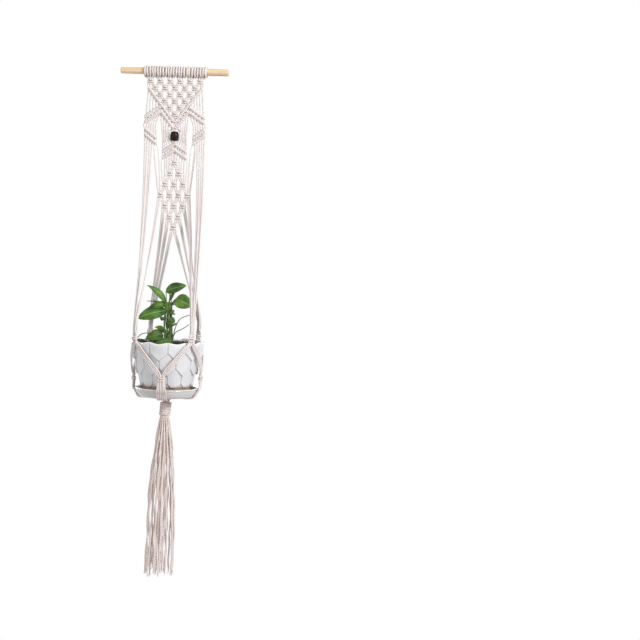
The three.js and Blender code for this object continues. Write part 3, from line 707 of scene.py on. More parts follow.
for face, face_degrees in FACES.items():
    face_angle = math.radians(face_degrees)
    knot_z = LOW_KNOT.z + LOW_KNOT_LIFT[face]
    knot_radius = LOW_KNOT_RADIUS + 0.3 * LOW_KNOT_LIFT[face]
    face_strands[face] = []
    for name, half in zip(FACE_CORNERS[face], (slice(3, 6), slice(0, 3))):
        corner_angle = face_angle + math.radians((CORNERS[name] - face_degrees + 180) % 360 - 180)
        strands = LEG_STRANDS[name][half]
        sling(strands, f"sling_{name}_to_{face}", corner_angle, face_angle, knot_z, knot_radius)
        face_strands[face] += strands
    knot_x, knot_y, _ = outward(face_angle) * knot_radius
    square_knot(face_strands[face], f"saucer_knot_{face}", (knot_x, knot_y, knot_z), face_angle,
                width=1.25, depth=1.1, height=1.05)
print("saucer knots", round(LOW_KNOT_RADIUS, 1), "mm out, at", round(LOW_KNOT.z), "mm")

# %% [markdown]
# ## The runs under the saucer
#
# From each saucer knot six strands run side by side over the saucer's edge and under it, and turn down at
# its middle into a thick core. They carry the whole weight, so they lie tight against the saucer, and
# their points are worked out from its radii. In the core there is a place for each strand, in two rings.

# %% Runs under the saucer
saucer_low, saucer_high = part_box("saucer")
SAUCER_RADIUS = saucer_high.x / MM
SAUCER_BASE = 58
SAUCER_BOTTOM = saucer_low.z / MM
SAUCER_RIM = saucer_high.z / MM - 4.5  # with its glaze the rim is thin, and sits a little low
RUN_Z = SAUCER_BOTTOM - 2.3
SINNET_TOP = RUN_Z - 11
CORE_RADIUS = 1.35
INNER_RING, OUTER_RING = 2.9, 6.4
CORE_PLACES = [  # each strand's ring, and how far it stands round it, in degrees
    (OUTER_RING, -33.75), (INNER_RING, -22.5), (OUTER_RING, -11.25),
    (OUTER_RING, 11.25), (INNER_RING, 22.5), (OUTER_RING, 33.75),
]
core_spots = {}


def saucer_run(angle, aside, ring, turn):
    """One strand from the saucer's rim to the core: points so far out, and so far along the face."""
    radial, side_step = ring * math.cos(turn), ring * math.sin(turn)
    if ring == INNER_RING:  # these strands turn down first, inside the others
        ease, drops = 3.4, (0, 0.9, 5.0)
    else:
        ease, drops = 3.0, (0.7, 3.0, 7.0)
    points = [
        (SAUCER_RADIUS + 2.3, aside, SAUCER_RIM - 2),
        ((SAUCER_RADIUS + SAUCER_BASE) / 2 + 3.9, aside, SAUCER_BOTTOM + 12),
        (SAUCER_BASE + 1.9, aside, SAUCER_BOTTOM - 0.6),
        (SAUCER_BASE - 6, aside, RUN_Z),
        (SAUCER_BASE * 0.55, aside, RUN_Z),
        (15, aside * 0.72, RUN_Z - drops[0], 1.7),
        (radial + ease, (aside * 0.35 + side_step) / 2, RUN_Z - drops[1], 1.5),
        (radial + 0.3, side_step, RUN_Z - drops[2], CORE_RADIUS),
        (radial, side_step, SINNET_TOP, CORE_RADIUS),
    ]
    placed = []
    for out, along, z, *radius in points:
        x, y, _ = outward(angle) * out + across(angle) * along
        placed.append((x, y, z, *radius))
    return placed


for face, face_degrees in FACES.items():
    face_angle = math.radians(face_degrees)
    for order, strand in enumerate(face_strands[face]):
        ring, degrees = CORE_PLACES[order]
        turn = math.radians(degrees)
        core_spots[strand] = outward(face_angle + turn) * ring
        lay(strand, f"saucer_run_{face}", saucer_run(face_angle, (order - 2.5) * BAND_PITCH, ring, turn))
print("the core begins", round(SAUCER_BOTTOM - SINNET_TOP, 1), "mm below the saucer")

# %% [markdown]
# ## The gathering knot
#
# A sinnet of half knots binds all the strands below the saucer. Two of the strands work: they cross the
# core in front and behind, and hook round each other at each side. A helix round the core would look
# wrapped, so each worker zigzags instead, which is what a row of half knots looks like.

# %% The gathering knot
SINNET_BOTTOM = foot_of("gathering_knot")
HALF_KNOTS = 7
HALF_PITCH = (SINNET_TOP - SINNET_BOTTOM - 2) / HALF_KNOTS
WRAP_RADIUS = 9.2
SINNET_STRAND = 2.3  # radius of a worker, which lies fuller here than a free strand
CROSSING = [  # degrees round the core, how far out, and how far up, in half knots
    (96, 1.3, 0.4), (70, 0.2, 0.2), (25, 0, 0.05), (-25, 0, -0.05), (-70, 0.2, -0.2), (-96, 1.3, -0.4),
]
FRONT_WORKER = face_strands["left"][3]
BACK_WORKER = face_strands["right"][2]


def zigzag(first_side, behind):
    """A worker's way down the core, which crosses it once for each half knot."""
    points = []
    for half in range(HALF_KNOTS):
        z = SINNET_TOP - 1.2 - HALF_PITCH * (half + 0.5)
        start = first_side * (-1) ** half
        for degrees, out, rise in CROSSING[1 if half else 0:]:
            turn = math.radians(start * degrees)
            x, y, _ = outward(math.pi - turn if behind else turn) * (WRAP_RADIUS + out)
            points.append((x, y, z + rise * HALF_PITCH, SINNET_STRAND))
    return points


for strand, (x, y, _) in core_spots.items():
    if strand == FRONT_WORKER:
        points = zigzag(-1, behind=False)
    elif strand == BACK_WORKER:
        points = zigzag(1, behind=True)
    else:
        levels = (SINNET_TOP - 5, (SINNET_TOP + SINNET_BOTTOM) / 2, SINNET_BOTTOM + 3)
        points = [(x, y, z, CORE_RADIUS) for z in levels]
    lay(strand, "gathering_knot", points + [(x * 1.04, y * 1.04, SINNET_BOTTOM - 0.2, 1.5)])
print("gathering knot:", HALF_KNOTS, "half knots,", round(SINNET_TOP - SINNET_BOTTOM), "mm long")

# %% [markdown]
# ## The tassel
#
# Below the gathering knot the strands hang free, spread out to a slim bell and end unevenly. Hair would
# give thousands of strands where there are twenty-four, so each is a route too: it keeps to its own side
# of the bell, and two waves of different lengths give it the lazy bends of cord that has been knotted.

# %% The tassel
TASSEL_LENGTH = 355
TASSEL_TOP = SINNET_BOTTOM - 0.3
TASSEL_OUTLINE = [(0, 8.4), (0.1, 14.5), (0.25, 21), (0.35, 25), (0.5, 28.5), (0.72, 30.5), (1, 32)]
TASSEL_NECK = 8.4
TASSEL_CORE = 3.6
TASSEL_STEPS = 33
FRAY_LENGTH = 12


def wave(share, slow, fast, phases):
    return math.sin(phases[0] + share * slow) + 0.6 * math.sin(phases[1] + share * fast)


def tassel_strand(spot, dice):
    """One free strand below its place in the knot; dice draws its spread, turn, waves and length."""
    angle = math.atan2(spot[1], spot[0])
    outer = np.linalg.norm(spot) > (INNER_RING + OUTER_RING) / 2
    reach = dice.uniform(0.82, 1.03) if outer else dice.uniform(0.1, 0.6)
    end_angle = angle + dice.uniform(-0.16, 0.16)
    phases = [dice.uniform(0, math.tau) for _ in range(4)]
    sway = dice.uniform(0.9, 1.6)
    length = TASSEL_LENGTH - FRAY_LENGTH - dice.uniform(0, 15)
    points = []
    for step in range(1, TASSEL_STEPS + 1):
        share = step / TASSEL_STEPS
        spread = (np.interp(share, *zip(*TASSEL_OUTLINE)) - TASSEL_NECK) * reach
        radius = (TASSEL_NECK if outer else TASSEL_CORE) + spread
        turn = between(angle, end_angle, share)
        loosened = min(1, share * 4)  # it grows over the first quarter
        x = radius * math.cos(turn) + sway * loosened * wave(share, 11, 34, phases[:2])
        y = radius * math.sin(turn) + sway * loosened * wave(share, 13, 30, phases[2:])
        thick = 1.7 if step == TASSEL_STEPS else 1.55 + 0.48 * loosened
        points.append((x, y, TASSEL_TOP - length * share, thick))
    return points


waves = random.Random(7)
ranked = sorted(core_spots, key=lambda strand: math.atan2(core_spots[strand][1], core_spots[strand][0]))
for order, strand in enumerate(ranked):
    lay(strand, f"tassel_strand_{order + 1:02d}", tassel_strand(core_spots[strand], waves))
print("routes hold", sum(len(route) for route in routes), "points")

# %% [markdown]
# ## From routes to cord
#
# A curve is drawn smoothly through each route's points. Blender's own curves could do it, but the spacing
# of the points is uneven, close in knots and wide in the legs, and there they bulge or kink. The
# centripetal kind of curve doesn't overshoot, so it is worked out here: each step mixes the four nearest
# points, weighed by the square roots of their distances.

# %% Smooth curves through the routes
SAMPLE_STEP = 1.3
TOO_CLOSE = 0.3


def curve_point(t, knots, points):
    """The place at t on the curve between the second and the third of four points."""
    t0, t1, t2, t3 = knots
    p0, p1, p2, p3 = points
    a1 = p0 + (p1 - p0) * ((t - t0) / (t1 - t0))
    a2 = p1 + (p2 - p1) * ((t - t1) / (t2 - t1))
    a3 = p2 + (p3 - p2) * ((t - t2) / (t3 - t2))
    b1 = a1 + (a2 - a1) * ((t - t0) / (t2 - t0))
    b2 = a2 + (a3 - a2) * ((t - t1) / (t3 - t1))
    return b1 + (b2 - b1) * ((t - t1) / (t2 - t1))


def smooth(route):
    """Part names, and x, y, z, radius and running length at even steps along a smooth curve."""
    points = [route[0]]
    for point in route[1:]:
        if math.dist(point[1:4], points[-1][1:4]) > TOO_CLOSE:
            points.append(point)
    places = np.array([point[1:5] for point in points])
    padded = np.vstack([2 * places[0] - places[1], places, 2 * places[-1] - places[-2]])
    gaps = np.linalg.norm(np.diff(padded[:, :3], axis=0), axis=1)
    parts, samples = [points[0][0]], [places[0]]
    for index in range(1, len(points)):
        knots = np.concatenate([[0], np.cumsum(np.sqrt(gaps[index - 1:index + 2]))])
        count = max(1, math.ceil(gaps[index] / SAMPLE_STEP))
        for step in range(1, count + 1):
            t = between(knots[1], knots[2], step / count)
            samples.append(curve_point(t, knots, padded[index - 1:index + 3]))
            parts.append(points[index][0])
    samples = np.array(samples)
    steps = np.linalg.norm(np.diff(samples[:, :3], axis=0), axis=1)
    return parts, np.column_stack([samples, np.concatenate([[0], np.cumsum(steps)])])


# %% The strands cut into parts
cord_parts = {}
for strand, route in enumerate(routes):
    parts, samples = smooth(route)
    start = 0
    for index in range(1, len(parts) + 1):
        if index == len(parts) or parts[index] != parts[start]:
            first = max(start - 1, 0)  # each part starts where the one before it ends
            cord_parts.setdefault(parts[start], []).append((strand, samples[first:index]))
            start = index
all_runs = [samples for runs in cord_parts.values() for _, samples in runs]
print(len(cord_parts), "parts;", round(sum(run[-1, 4] - run[0, 4] for run in all_runs) * MM, 1), "m of cord")

# %% [markdown]
# ## The cord itself
#
# Loosely twisted cotton cord has three plies. Its section is a circle with three shallow lobes, and the
# section turns once in every 13 mm. A bevelled curve would give a plain tube. The tree takes each
# strand's line, turns it by its running length, sweeps the section along it at the strand's own
# thickness, and keeps the place round the section and along the strand, so that the fibres of the
# finish follow the cord.

# %% The cotton cord tree
PLIES = 3
cord_tree = new_tree("cotton cord", {
    "Step": "value", "Lay": "value", "Lobe": "value", "Corners": "count", "Finish": "material"})


def lobed_section(tree, given):
    """A circle of radius 1 that sinks between the plies, and still knows where its points were."""
    ring = wire(tree, "GeometryNodeCurvePrimitiveCircle", {"Resolution": given["Corners"], "Radius": 1.0})
    place = wire(tree, "GeometryNodeInputPosition")
    x, y, _ = split(tree, place)
    plies = (y.through("ARCTAN2", x) * PLIES).through("COSINE")
    swell = (plies - 1.0) * given["Lobe"] + 1.0
    lobed = wire(tree, "ShaderNodeVectorMath", {0: place, "Scale": swell}, operation="SCALE")
    marked = store(tree, ring, "round", place, "FLOAT_VECTOR")
    return wire(tree, "GeometryNodeSetPosition", {"Geometry": marked, "Position": lobed})


def build_cord_tree(tree):
    given = wires_of(tree, "NodeGroupInput")
    along, thick = named(tree, "along"), named(tree, "thick")
    line = wire(tree, "GeometryNodeMeshToCurve", {"Mesh": given["Geometry"]})
    even = wire(tree, "GeometryNodeResampleCurve", {"Curve": line, "Length": given["Step"]}, mode="LENGTH")
    tilt = along / given["Lay"] * math.tau
    twisted = wire(tree, "GeometryNodeSetCurveTilt", {"Curve": even, "Tilt": tilt})
    sized = wire(tree, "GeometryNodeSetCurveRadius", {"Curve": twisted, "Radius": thick})
    sweep = add_node(tree, "GeometryNodeCurveToMesh", {
        "Curve": sized, "Profile Curve": lobed_section(tree, given), "Fill Caps": True})
    if "Scale" in sweep.inputs:
        thick.into(sweep.inputs["Scale"])
    x, y, _ = split(tree, named(tree, "round", "FLOAT_VECTOR"))
    fibre = wire(tree, "ShaderNodeCombineXYZ", {0: x, 1: y, 2: along})
    swept = Wire(tree, sweep.outputs["Mesh"])
    end_tree(tree, store(tree, swept, "fibre", fibre, "FLOAT_VECTOR"), given["Finish"])


build_cord_tree(cord_tree)
print("the cord's tree has", len(cord_tree.nodes), "nodes")

# %% [markdown]
# ## Finishes
#
# No finish here is printed on. Each is a principled shader whose colour and relief come from noise, so it
# has no seams and keeps its detail close up. The noise reads the place on the object, or an attribute
# that a tree has kept. These helpers make the few nodes that most of the finishes share.

# %% Helpers for finishes
def new_material(name, colour, roughness, **constants):
    """A principled material, its tree and its shader node, with constants set on their own sockets."""
    material = bpy.data.materials.new(name)
    material.use_nodes = True
    tree = material.node_tree
    shader = tree.nodes["Principled BSDF"]
    shader.inputs["Base Color"].default_value = (*colour, 1)
    shader.inputs["Roughness"].default_value = roughness
    for socket, value in constants.items():
        shader.inputs[socket.replace("_", " ")].default_value = value
    return material, tree, shader


def attribute(tree, name, kind="Fac"):
    return Wire(tree, add_node(tree, "ShaderNodeAttribute", attribute_name=name).outputs[kind])


def object_place(tree):
    return wires_of(tree, "ShaderNodeTexCoord")["Object"]


def stretched(tree, place, scale):
    return wire(tree, "ShaderNodeMapping", {0: place, "Scale": scale})


def noise(tree, place, scale, detail, roughness=0.5):
    links = {"Vector": place, "Scale": scale, "Detail": detail, "Roughness": roughness}
    return wire(tree, "ShaderNodeTexNoise", links)


def grade(tree, value, low, high, way="LINEAR"):
    """0 where the value is low and 1 where it is high."""
    links = {"Value": value, "From Min": low, "From Max": high}
    return wire(tree, "ShaderNodeMapRange", links, interpolation_type=way)


# %% Helpers for colours
def ramp(tree, factor, stops):
    """A colour ramp; stops are (position, (r, g, b))."""
    node = add_node(tree, "ShaderNodeValToRGB", {0: factor})
    elements = node.color_ramp.elements
    while len(elements) < len(stops):
        elements.new(0.5)
    for element, (position, colour) in zip(elements, stops):
        element.position = position
        element.color = (*colour, 1)
    return Wire(tree, node.outputs[0])


def mix_colour(tree, factor, *colours, blend="MIX"):
    node = add_node(tree, "ShaderNodeMix", {0: factor}, data_type="RGBA", blend_type=blend)
    for socket, colour in zip((node.inputs[6], node.inputs[7]), colours):
        if isinstance(colour, Wire):
            colour.into(socket)
        else:
            socket.default_value = (*colour, 1)
    return Wire(tree, node.outputs[2])


def bumped(tree, shader, height, strength, distance, invert=False):
    links = {"Height": height, "Strength": strength, "Distance": distance}
    wire(tree, "ShaderNodeBump", links, invert=invert).into(shader.inputs["Normal"])


# %% [markdown]
# ## Cotton
#
# Raw cotton is off-white and matt, with a soft sheen from loose hairs. A printed weave would have seams
# and a fixed scale. Noise drawn out along the cord's own place attribute gives fibres that follow every
# turn, and a broader noise on the object's coordinates gives the uneven tone of cord that isn't
# bleached. From the saucer down it is painted a little darker and browner, as shade where less light reaches.

# %% The cotton finish
FIBRE_STRETCH = (2.6, 2.6, 420)
FIBRE_TONES = [(0.25, (0.75, 0.67, 0.645)), (0.5, (0.86, 0.795, 0.775)), (0.75, (0.91, 0.86, 0.845))]
BLOTCH_TONES = [(0.3, (0.95, 0.93, 0.92)), (0.7, (1.0, 1.0, 1.0))]
# a darker, browner tone painted as shade from the saucer down, where less light reaches
LOW_SHADE_TONE = (0.95, 0.89, 0.872)
SHADE_FROM, SHADE_TO = -0.60, -0.72  # heights in metres between which the tone changes


def make_cotton():
    material, tree, shader = new_material(
        "cotton", (0.84, 0.79, 0.765), 0.9, Sheen_Weight=0.25, Sheen_Roughness=0.5, Specular_IOR_Level=0.25)
    place = object_place(tree)
    hairs = noise(tree, stretched(tree, attribute(tree, "fibre", "Vector"), FIBRE_STRETCH), 3.0, 3.0, 0.65)
    blotches = ramp(tree, noise(tree, place, 38.0, 2.0), BLOTCH_TONES)
    colour = mix_colour(tree, 1.0, ramp(tree, hairs, FIBRE_TONES), blotches, blend="MULTIPLY")
    # painted shade: the cotton is made darker and browner from the saucer down
    _, _, level = split(tree, place)
    shaded_colour = mix_colour(tree, 1.0, colour, LOW_SHADE_TONE, blend="MULTIPLY")
    shade_mask = grade(tree, level, SHADE_FROM, SHADE_TO)
    mix_colour(tree, shade_mask, colour, shaded_colour).into(shader.inputs["Base Color"])
    bumped(tree, shader, hairs, 0.5, 0.0004)
    return material


cotton = make_cotton()
print("cotton finish:", len(cotton.node_tree.nodes), "nodes")

# %% [markdown]
# ## Cord pieces
#
# Each part of the planter becomes one piece, which stands for the plain solid of the same name and rides
# on the same body. One mesh for all the cord would be simpler, but nothing could move. The strands under
# the saucer ride on no body: they stay where they are made.

# %% Cord pieces
CORD_SETTINGS = {"Step": 1.1 * MM, "Lay": 13 * MM, "Lobe": 0.07, "Corners": 12, "Finish": cotton}


def cord_lines(name, runs):
    """A mesh of bare lines, one for each run, with its thickness and running length."""
    mesh = bpy.data.meshes.new(name)
    samples = np.vstack(runs) * MM
    edges, start = [], 0
    for run in runs:
        edges += [(start + n, start + n + 1) for n in range(len(run) - 1)]
        start += len(run)
    mesh.from_pydata(samples[:, :3].tolist(), edges, [])
    keep_values(mesh, "thick", samples[:, 3])
    keep_values(mesh, "along", samples[:, 4])
    return put_in_scene(name, mesh)


def cord_piece(name, runs):
    return faces_outwards(run_tree(cord_lines(name, runs), cord_tree, CORD_SETTINGS))


triangles = 0
for part, runs in cord_parts.items():
    if part.startswith("tassel"):
        continue
    piece = cord_piece(f"{part}_cords", [samples for _, samples in runs])
    if part.startswith("saucer_run"):
        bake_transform(piece)
    else:
        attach(piece, "gathering_knot" if part == "gathering_knot" else "hanger")
    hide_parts(part)
    triangles += 2 * len(piece.data.polygons)
print("cord pieces:", len(cord_parts), "triangles about", triangles)

# %% [markdown]
# ## Tassel pieces
#
# Every strand of the tassel has a free end, so each is a piece of its own. Its cut end has opened into
# loose yarns. A particle system could grow them, but a few thin runs through the same tree match the cord
# and stay with its mesh.

# %% Tassel pieces
YARNS = 7
YARN_STEPS = 8
YARN_OVERLAP = 3  # the yarns begin this far inside the strand


def frayed(samples, dice):
    """Runs of thin loose yarns that leave a strand's cut end."""
    x, y, z, _, running = samples[-1]
    yarns = []
    for _ in range(YARNS):
        turn = dice.uniform(0, math.tau)
        way = np.array([math.cos(turn), math.sin(turn)])
        start = way * dice.uniform(0.2, 1.0)
        drift = way * dice.uniform(0.3, 1.9)
        fall = dice.uniform(0.55, 1.0) * FRAY_LENGTH
        bend = dice.uniform(-0.5, 0.5)
        yarn = []
        for step in range(YARN_STEPS + 1):
            share = step / YARN_STEPS
            curl = np.array([math.sin(3 * share), math.cos(3 * share) - 1]) * bend
            aside = start + drift * share ** 1.5 + curl
            yarn.append([x + aside[0], y + aside[1], z + YARN_OVERLAP - (fall + YARN_OVERLAP) * share,
                         0.55 - 0.25 * share, running + fall * share])
        yarns.append(np.array(yarn))
    return yarns


fray_dice = random.Random(11)
tassel_total = 0
for part, runs in cord_parts.items():
    if not part.startswith("tassel"):
        continue
    samples = runs[0][1]
    piece = cord_piece(part, [samples, *frayed(samples, fray_dice)])
    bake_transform(piece)
    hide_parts("tassel")
    tip = samples[-1] + (0, 0, -FRAY_LENGTH, 0, FRAY_LENGTH)  # where the yarns end
    samples = np.vstack([samples, tip])
    length = (samples[-1, 4] - samples[0, 4]) * MM
    (samples[0, :3] * MM).tolist()
    (samples[:, :3] * MM).tolist()
    tassel_total += length
print("tassel:", round(tassel_total, 2), "m of cord")

# %% [markdown]
# ## Turned ware
#
# The pot, its saucer, the bead and the dowel are all turned: one outline carried round an axis. A Screw
# modifier could turn a plain one. The tree takes the outline as a bare line that knows its radius and
# height at each point, and sweeps it round, so it can do more on the way. The pot's overlapping scales
# are added as a formula of the place round the pot and the distance down from its rim, just as a mould
# would have pressed them into the clay.

# %% The scales pressed into the pot
SCALE_ROWS = 4  # the last of them ends in the bare foot
SCALE_TOP = 19 * MM  # where the first scale's sides end and its point begins
SCALE_FALL = 17 * MM  # from there to its point
SCALE_PITCH = 34 * MM
SCALE_HALF_WIDTH = 18 * MM
SEAM_WIDTH = 0.9 * MM
STEP_WIDTH = 1.3 * MM
FOOT_BAND = 97 * MM  # below this the clay is bare
RIM_FADE = 25 * MM  # over this the wall sinks from the plain rim to the depth of the scales


def bump_at(away, width):
    """1 at a line and near 0 once it is more than the width away."""
    away = away / width
    return (0.0 - away * away).through("EXPONENT")


def scale_relief(turn, down, given):
    """Height of the overlapping scales and depth of the notches, which also mask the shade painted into the
    glaze; down is measured from the rim.
    """
    cells = (turn - given["Seam"]) * given["Scales"]
    share_of_cell = cells.through("FLOORED_MODULO", 1.0)
    left_half = share_of_cell.through("LESS_THAN", 0.5)
    to_seam = (share_of_cell - 0.5).through("ABSOLUTE") * 2.0
    to_middle = 1.0 - to_seam
    top = above = height = notches = cells * 0.0
    for row in range(SCALE_ROWS):
        point = to_seam if row % 2 else to_middle
        foot = row == SCALE_ROWS - 1
        if foot:
            bottom = point * 0.0 + (FOOT_BAND + 20 * MM)
        else:
            bottom = point * SCALE_FALL + (SCALE_TOP + row * SCALE_PITCH)
        share = ((down - top) / (bottom - top)).at_least(0.0).at_most(1.0)
        notch = bump_at(point * SCALE_HALF_WIDTH, SEAM_WIDTH)
        if row:  # the notches are deeper, and the painted shade darker, under the edges that run down to the right, which face away from the key light
            rightward = left_half if row % 2 else 1.0 - left_half
            notch = notch.at_least(bump_at(down - top, STEP_WIDTH) * (rightward * 0.8 + 0.2))
        rise = share * share * (point * 0.55 + 0.45) * (0.0 if foot else given["Relief"])
        inside = down.through("LESS_THAN", bottom + 0.2 * MM)
        height = height + (rise - notch * given["Groove"]) * (inside - above)
        notches = notches + notch * (inside - above)
        top, above = bottom, inside
    band = down.through("GREATER_THAN", FOOT_BAND + 0.5 * MM)
    sunk = (down / RIM_FADE).at_most(1.0) * given["Relief"] * 0.85
    return height * (1.0 - band) - sunk - band * given["Groove"], notches * (1.0 - band)


# %% The tree for turned ware
turned_tree = new_tree("turned ware", {
    "Corners": "count", "Scales": "value", "Seam": "value", "Relief": "value", "Groove": "value",
    "Wave": "value", "Finish": "material"})


def build_turned_tree(tree):
    given = wires_of(tree, "NodeGroupInput")
    outline = wire(tree, "GeometryNodeMeshToCurve", {"Mesh": given["Geometry"]})
    ring = wire(tree, "GeometryNodeCurvePrimitiveCircle", {"Resolution": given["Corners"]})
    marked = store(tree, ring, "turn", wire(tree, "GeometryNodeInputIndex") / given["Corners"])
    swept = wire(tree, "GeometryNodeCurveToMesh", {"Curve": marked, "Profile Curve": outline})
    turn, down, side, reach, level, lip = (
        named(tree, name) for name in ("turn", "down", "side", "reach", "level", "lip"))
    relief, notches = scale_relief(turn, down, given)
    radius = reach + side * relief
    crest = ((turn - given["Seam"]) * given["Scales"] * math.tau).through("COSINE")
    angle = turn * math.tau
    place = wire(tree, "ShaderNodeCombineXYZ", {
        0: radius * angle.through("SINE"),
        1: radius * angle.through("COSINE") * -1.0,
        2: level + lip * given["Wave"] * crest})
    shaped = wire(tree, "GeometryNodeSetPosition", {"Geometry": swept, "Position": place})
    # the notches are kept as the mask of the shade painted into the glaze
    shade_marked = store(tree, shaped, "groove_shade", notches * side)
    closed = wire(tree, "GeometryNodeMergeByDistance", {"Geometry": shade_marked, "Distance": 0.01 * MM})
    end_tree(tree, closed, given["Finish"])


build_turned_tree(turned_tree)
print("the turned ware's tree has", len(turned_tree.nodes), "nodes")

# %% Turning an outline
PLAIN = {"Corners": 96, "Scales": 12.0, "Seam": 0.0, "Relief": 0.0, "Groove": 0.0, "Wave": 0.0}


def turned(name, outline, finish, **settings):
    """Turns an outline: points of radius, level, way down from the rim, and side and lip weights."""
    values = np.array([(*point, 0, 0, 0)[:5] for point in outline], float)
    mesh = bpy.data.meshes.new(name)
    places = [(radius * MM, 0, level * MM) for radius, level in values[:, :2]]
    mesh.from_pydata(places, [(n, n + 1) for n in range(len(places) - 1)], [])
    for column, label in enumerate(("reach", "level", "down")):
        keep_values(mesh, label, values[:, column] * MM)
    keep_values(mesh, "side", values[:, 3])
    keep_values(mesh, "lip", values[:, 4])
    piece = run_tree(put_in_scene(name, mesh), turned_tree, {**PLAIN, **settings, "Finish": finish})
    print(name, len(piece.data.polygons), "faces")
    return faces_outwards(piece)


# %% [markdown]
# ## Glaze
#
# The pot and the saucer have a clear, slightly blue-white glaze, thick and glossy. Shade is painted into
# the pot's grooves as a grey, and a highlight is painted along each rim as a paler tone. The saucer's glaze
# is set darker and pinker than the pot's, as painted shade on its wall, which faces down, and its inside is
# painted dark brown as shade. The pot's foot is left bare, so that it doesn't stick to the kiln shelf, and
# shows the beige clay. Its inside below the lip is made a dark brown. Painted masks could place all this,
# but the turned outline already carries how far down, outside or at a lip each point is, so the finish
# reads those values.

# %% Glazes
GLAZE_ROUGHNESS = 0.16
GLAZE_COAT = 0.5
# grey painted into the grooves as shade
GROOVE_SHADE_TONE = (0.36, 0.34, 0.35)
# paler tone painted along the rims as a highlight
RIM_HIGHLIGHT_TONE = (0.90, 0.89, 0.90)
# dark brown that the pot's inside below the lip is turned towards
DARK_INSIDE_TONE = (0.26, 0.20, 0.15)
INSIDE_SHADE_DEPTH = 3 * MM  # the painted shade is full this far below the saucer's lip


def make_glaze(name, colour, deep, clay=None, inside_shade=None):
    """A glaze that is clouded with a deeper tone; clay is the bare foot's colour, and the last argument the
    dark brown painted as shade over a saucer's inside.
    """
    material, tree, shader = new_material(
        name, colour, GLAZE_ROUGHNESS, Coat_Weight=GLAZE_COAT, Coat_Roughness=0.06)
    place = object_place(tree)
    lip, down, side, groove_shade = (attribute(tree, mark) for mark in ("lip", "down", "side", "groove_shade"))
    body = ramp(tree, noise(tree, place, 26.0, 3.0, 0.55), [(0.3, deep), (0.6, colour)])
    # painted shade: grey in the grooves and under the scales' edges
    body = mix_colour(tree, groove_shade * 0.62, body, GROOVE_SHADE_TONE)
    # painted highlight: a paler tone along the rims
    body = mix_colour(tree, lip.through("POWER", 3.0) * 0.7, body, RIM_HIGHLIGHT_TONE)
    # painted shade: the saucer's inside is turned dark brown, fully a little below its lip
    if inside_shade:
        body = mix_colour(tree, (down / INSIDE_SHADE_DEPTH).at_most(1.0), body, inside_shade)
    if clay:
        bare = grade(tree, down, FOOT_BAND - 6 * MM, FOOT_BAND) * side
        body = mix_colour(tree, bare, body, clay)
        # the pot's inside below the lip is darkened towards a dark brown
        body = mix_colour(tree, (1.0 - side) * (1.0 - lip) * 0.6, body, DARK_INSIDE_TONE)
        (bare * 0.6 + GLAZE_ROUGHNESS).into(shader.inputs["Roughness"])
        ((1.0 - bare) * GLAZE_COAT).into(shader.inputs["Coat Weight"])
    body.into(shader.inputs["Base Color"])
    bumped(tree, shader, noise(tree, place, 90.0, 1.0), 0.12, 0.0006)
    return material


pot_glaze = make_glaze(
    "pot_glaze", (0.75, 0.74, 0.765), (0.68, 0.67, 0.70), clay=(0.50, 0.40, 0.31))
# The saucer's glaze is set darker and pinker than the pot's: painted shade on its wall, which faces down.
saucer_glaze = make_glaze(
    "saucer_glaze", (0.64, 0.605, 0.605), (0.59, 0.555, 0.56), inside_shade=(0.23, 0.17, 0.135))
print("glazes:", len(pot_glaze.node_tree.nodes), "and", len(saucer_glaze.node_tree.nodes), "nodes")

# %% [markdown]
# ## The pot
#
# Its side curves in from a wide rim to a narrower foot. Twelve scales go round it, each row set half a
# scale aside from the one above. A displacement map would blur their edges. The rows of the mesh are
# spaced so that every edge of a scale runs exactly through its corners, which keeps the edges crisp. The
# rim rises a little at each seam.

# %% Pot
POT_CURVE = 1.5
POT_FOOT_RADIUS = 50
POT_WALL = 4.5
POT_LIP = 3.2  # from the rim's top down to where the side begins
POT_INSIDE = 46  # how far down the inside is made, which the soil hides
SEAM_TURN = 9.5 / 360
ROWS_IN_FALL = 12  # rows of the mesh between a scale's side ends and its point
SIDE_SAMPLES = 600  # heights at which the way down the curved side is measured
pot_low, pot_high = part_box("pot")
POT_RIM, POT_FOOT = pot_high.z / MM, pot_low.z / MM
POT_RADIUS = pot_high.x / MM


def pot_radius(z):
    share = (z - POT_FOOT) / (POT_RIM - POT_FOOT)
    return POT_RADIUS - (POT_RADIUS - POT_FOOT_RADIUS) * max(1 - share, 0) ** POT_CURVE


def round_lip(radius, level, half_wall, first):
    """A half round over a wall's top, from its outside to its inside."""
    turns = [math.radians(degrees) for degrees in range(first, 181, 20)]
    return [(radius - half_wall + half_wall * math.cos(turn), level + half_wall * math.sin(turn), 0, 0, 1)
            for turn in turns]


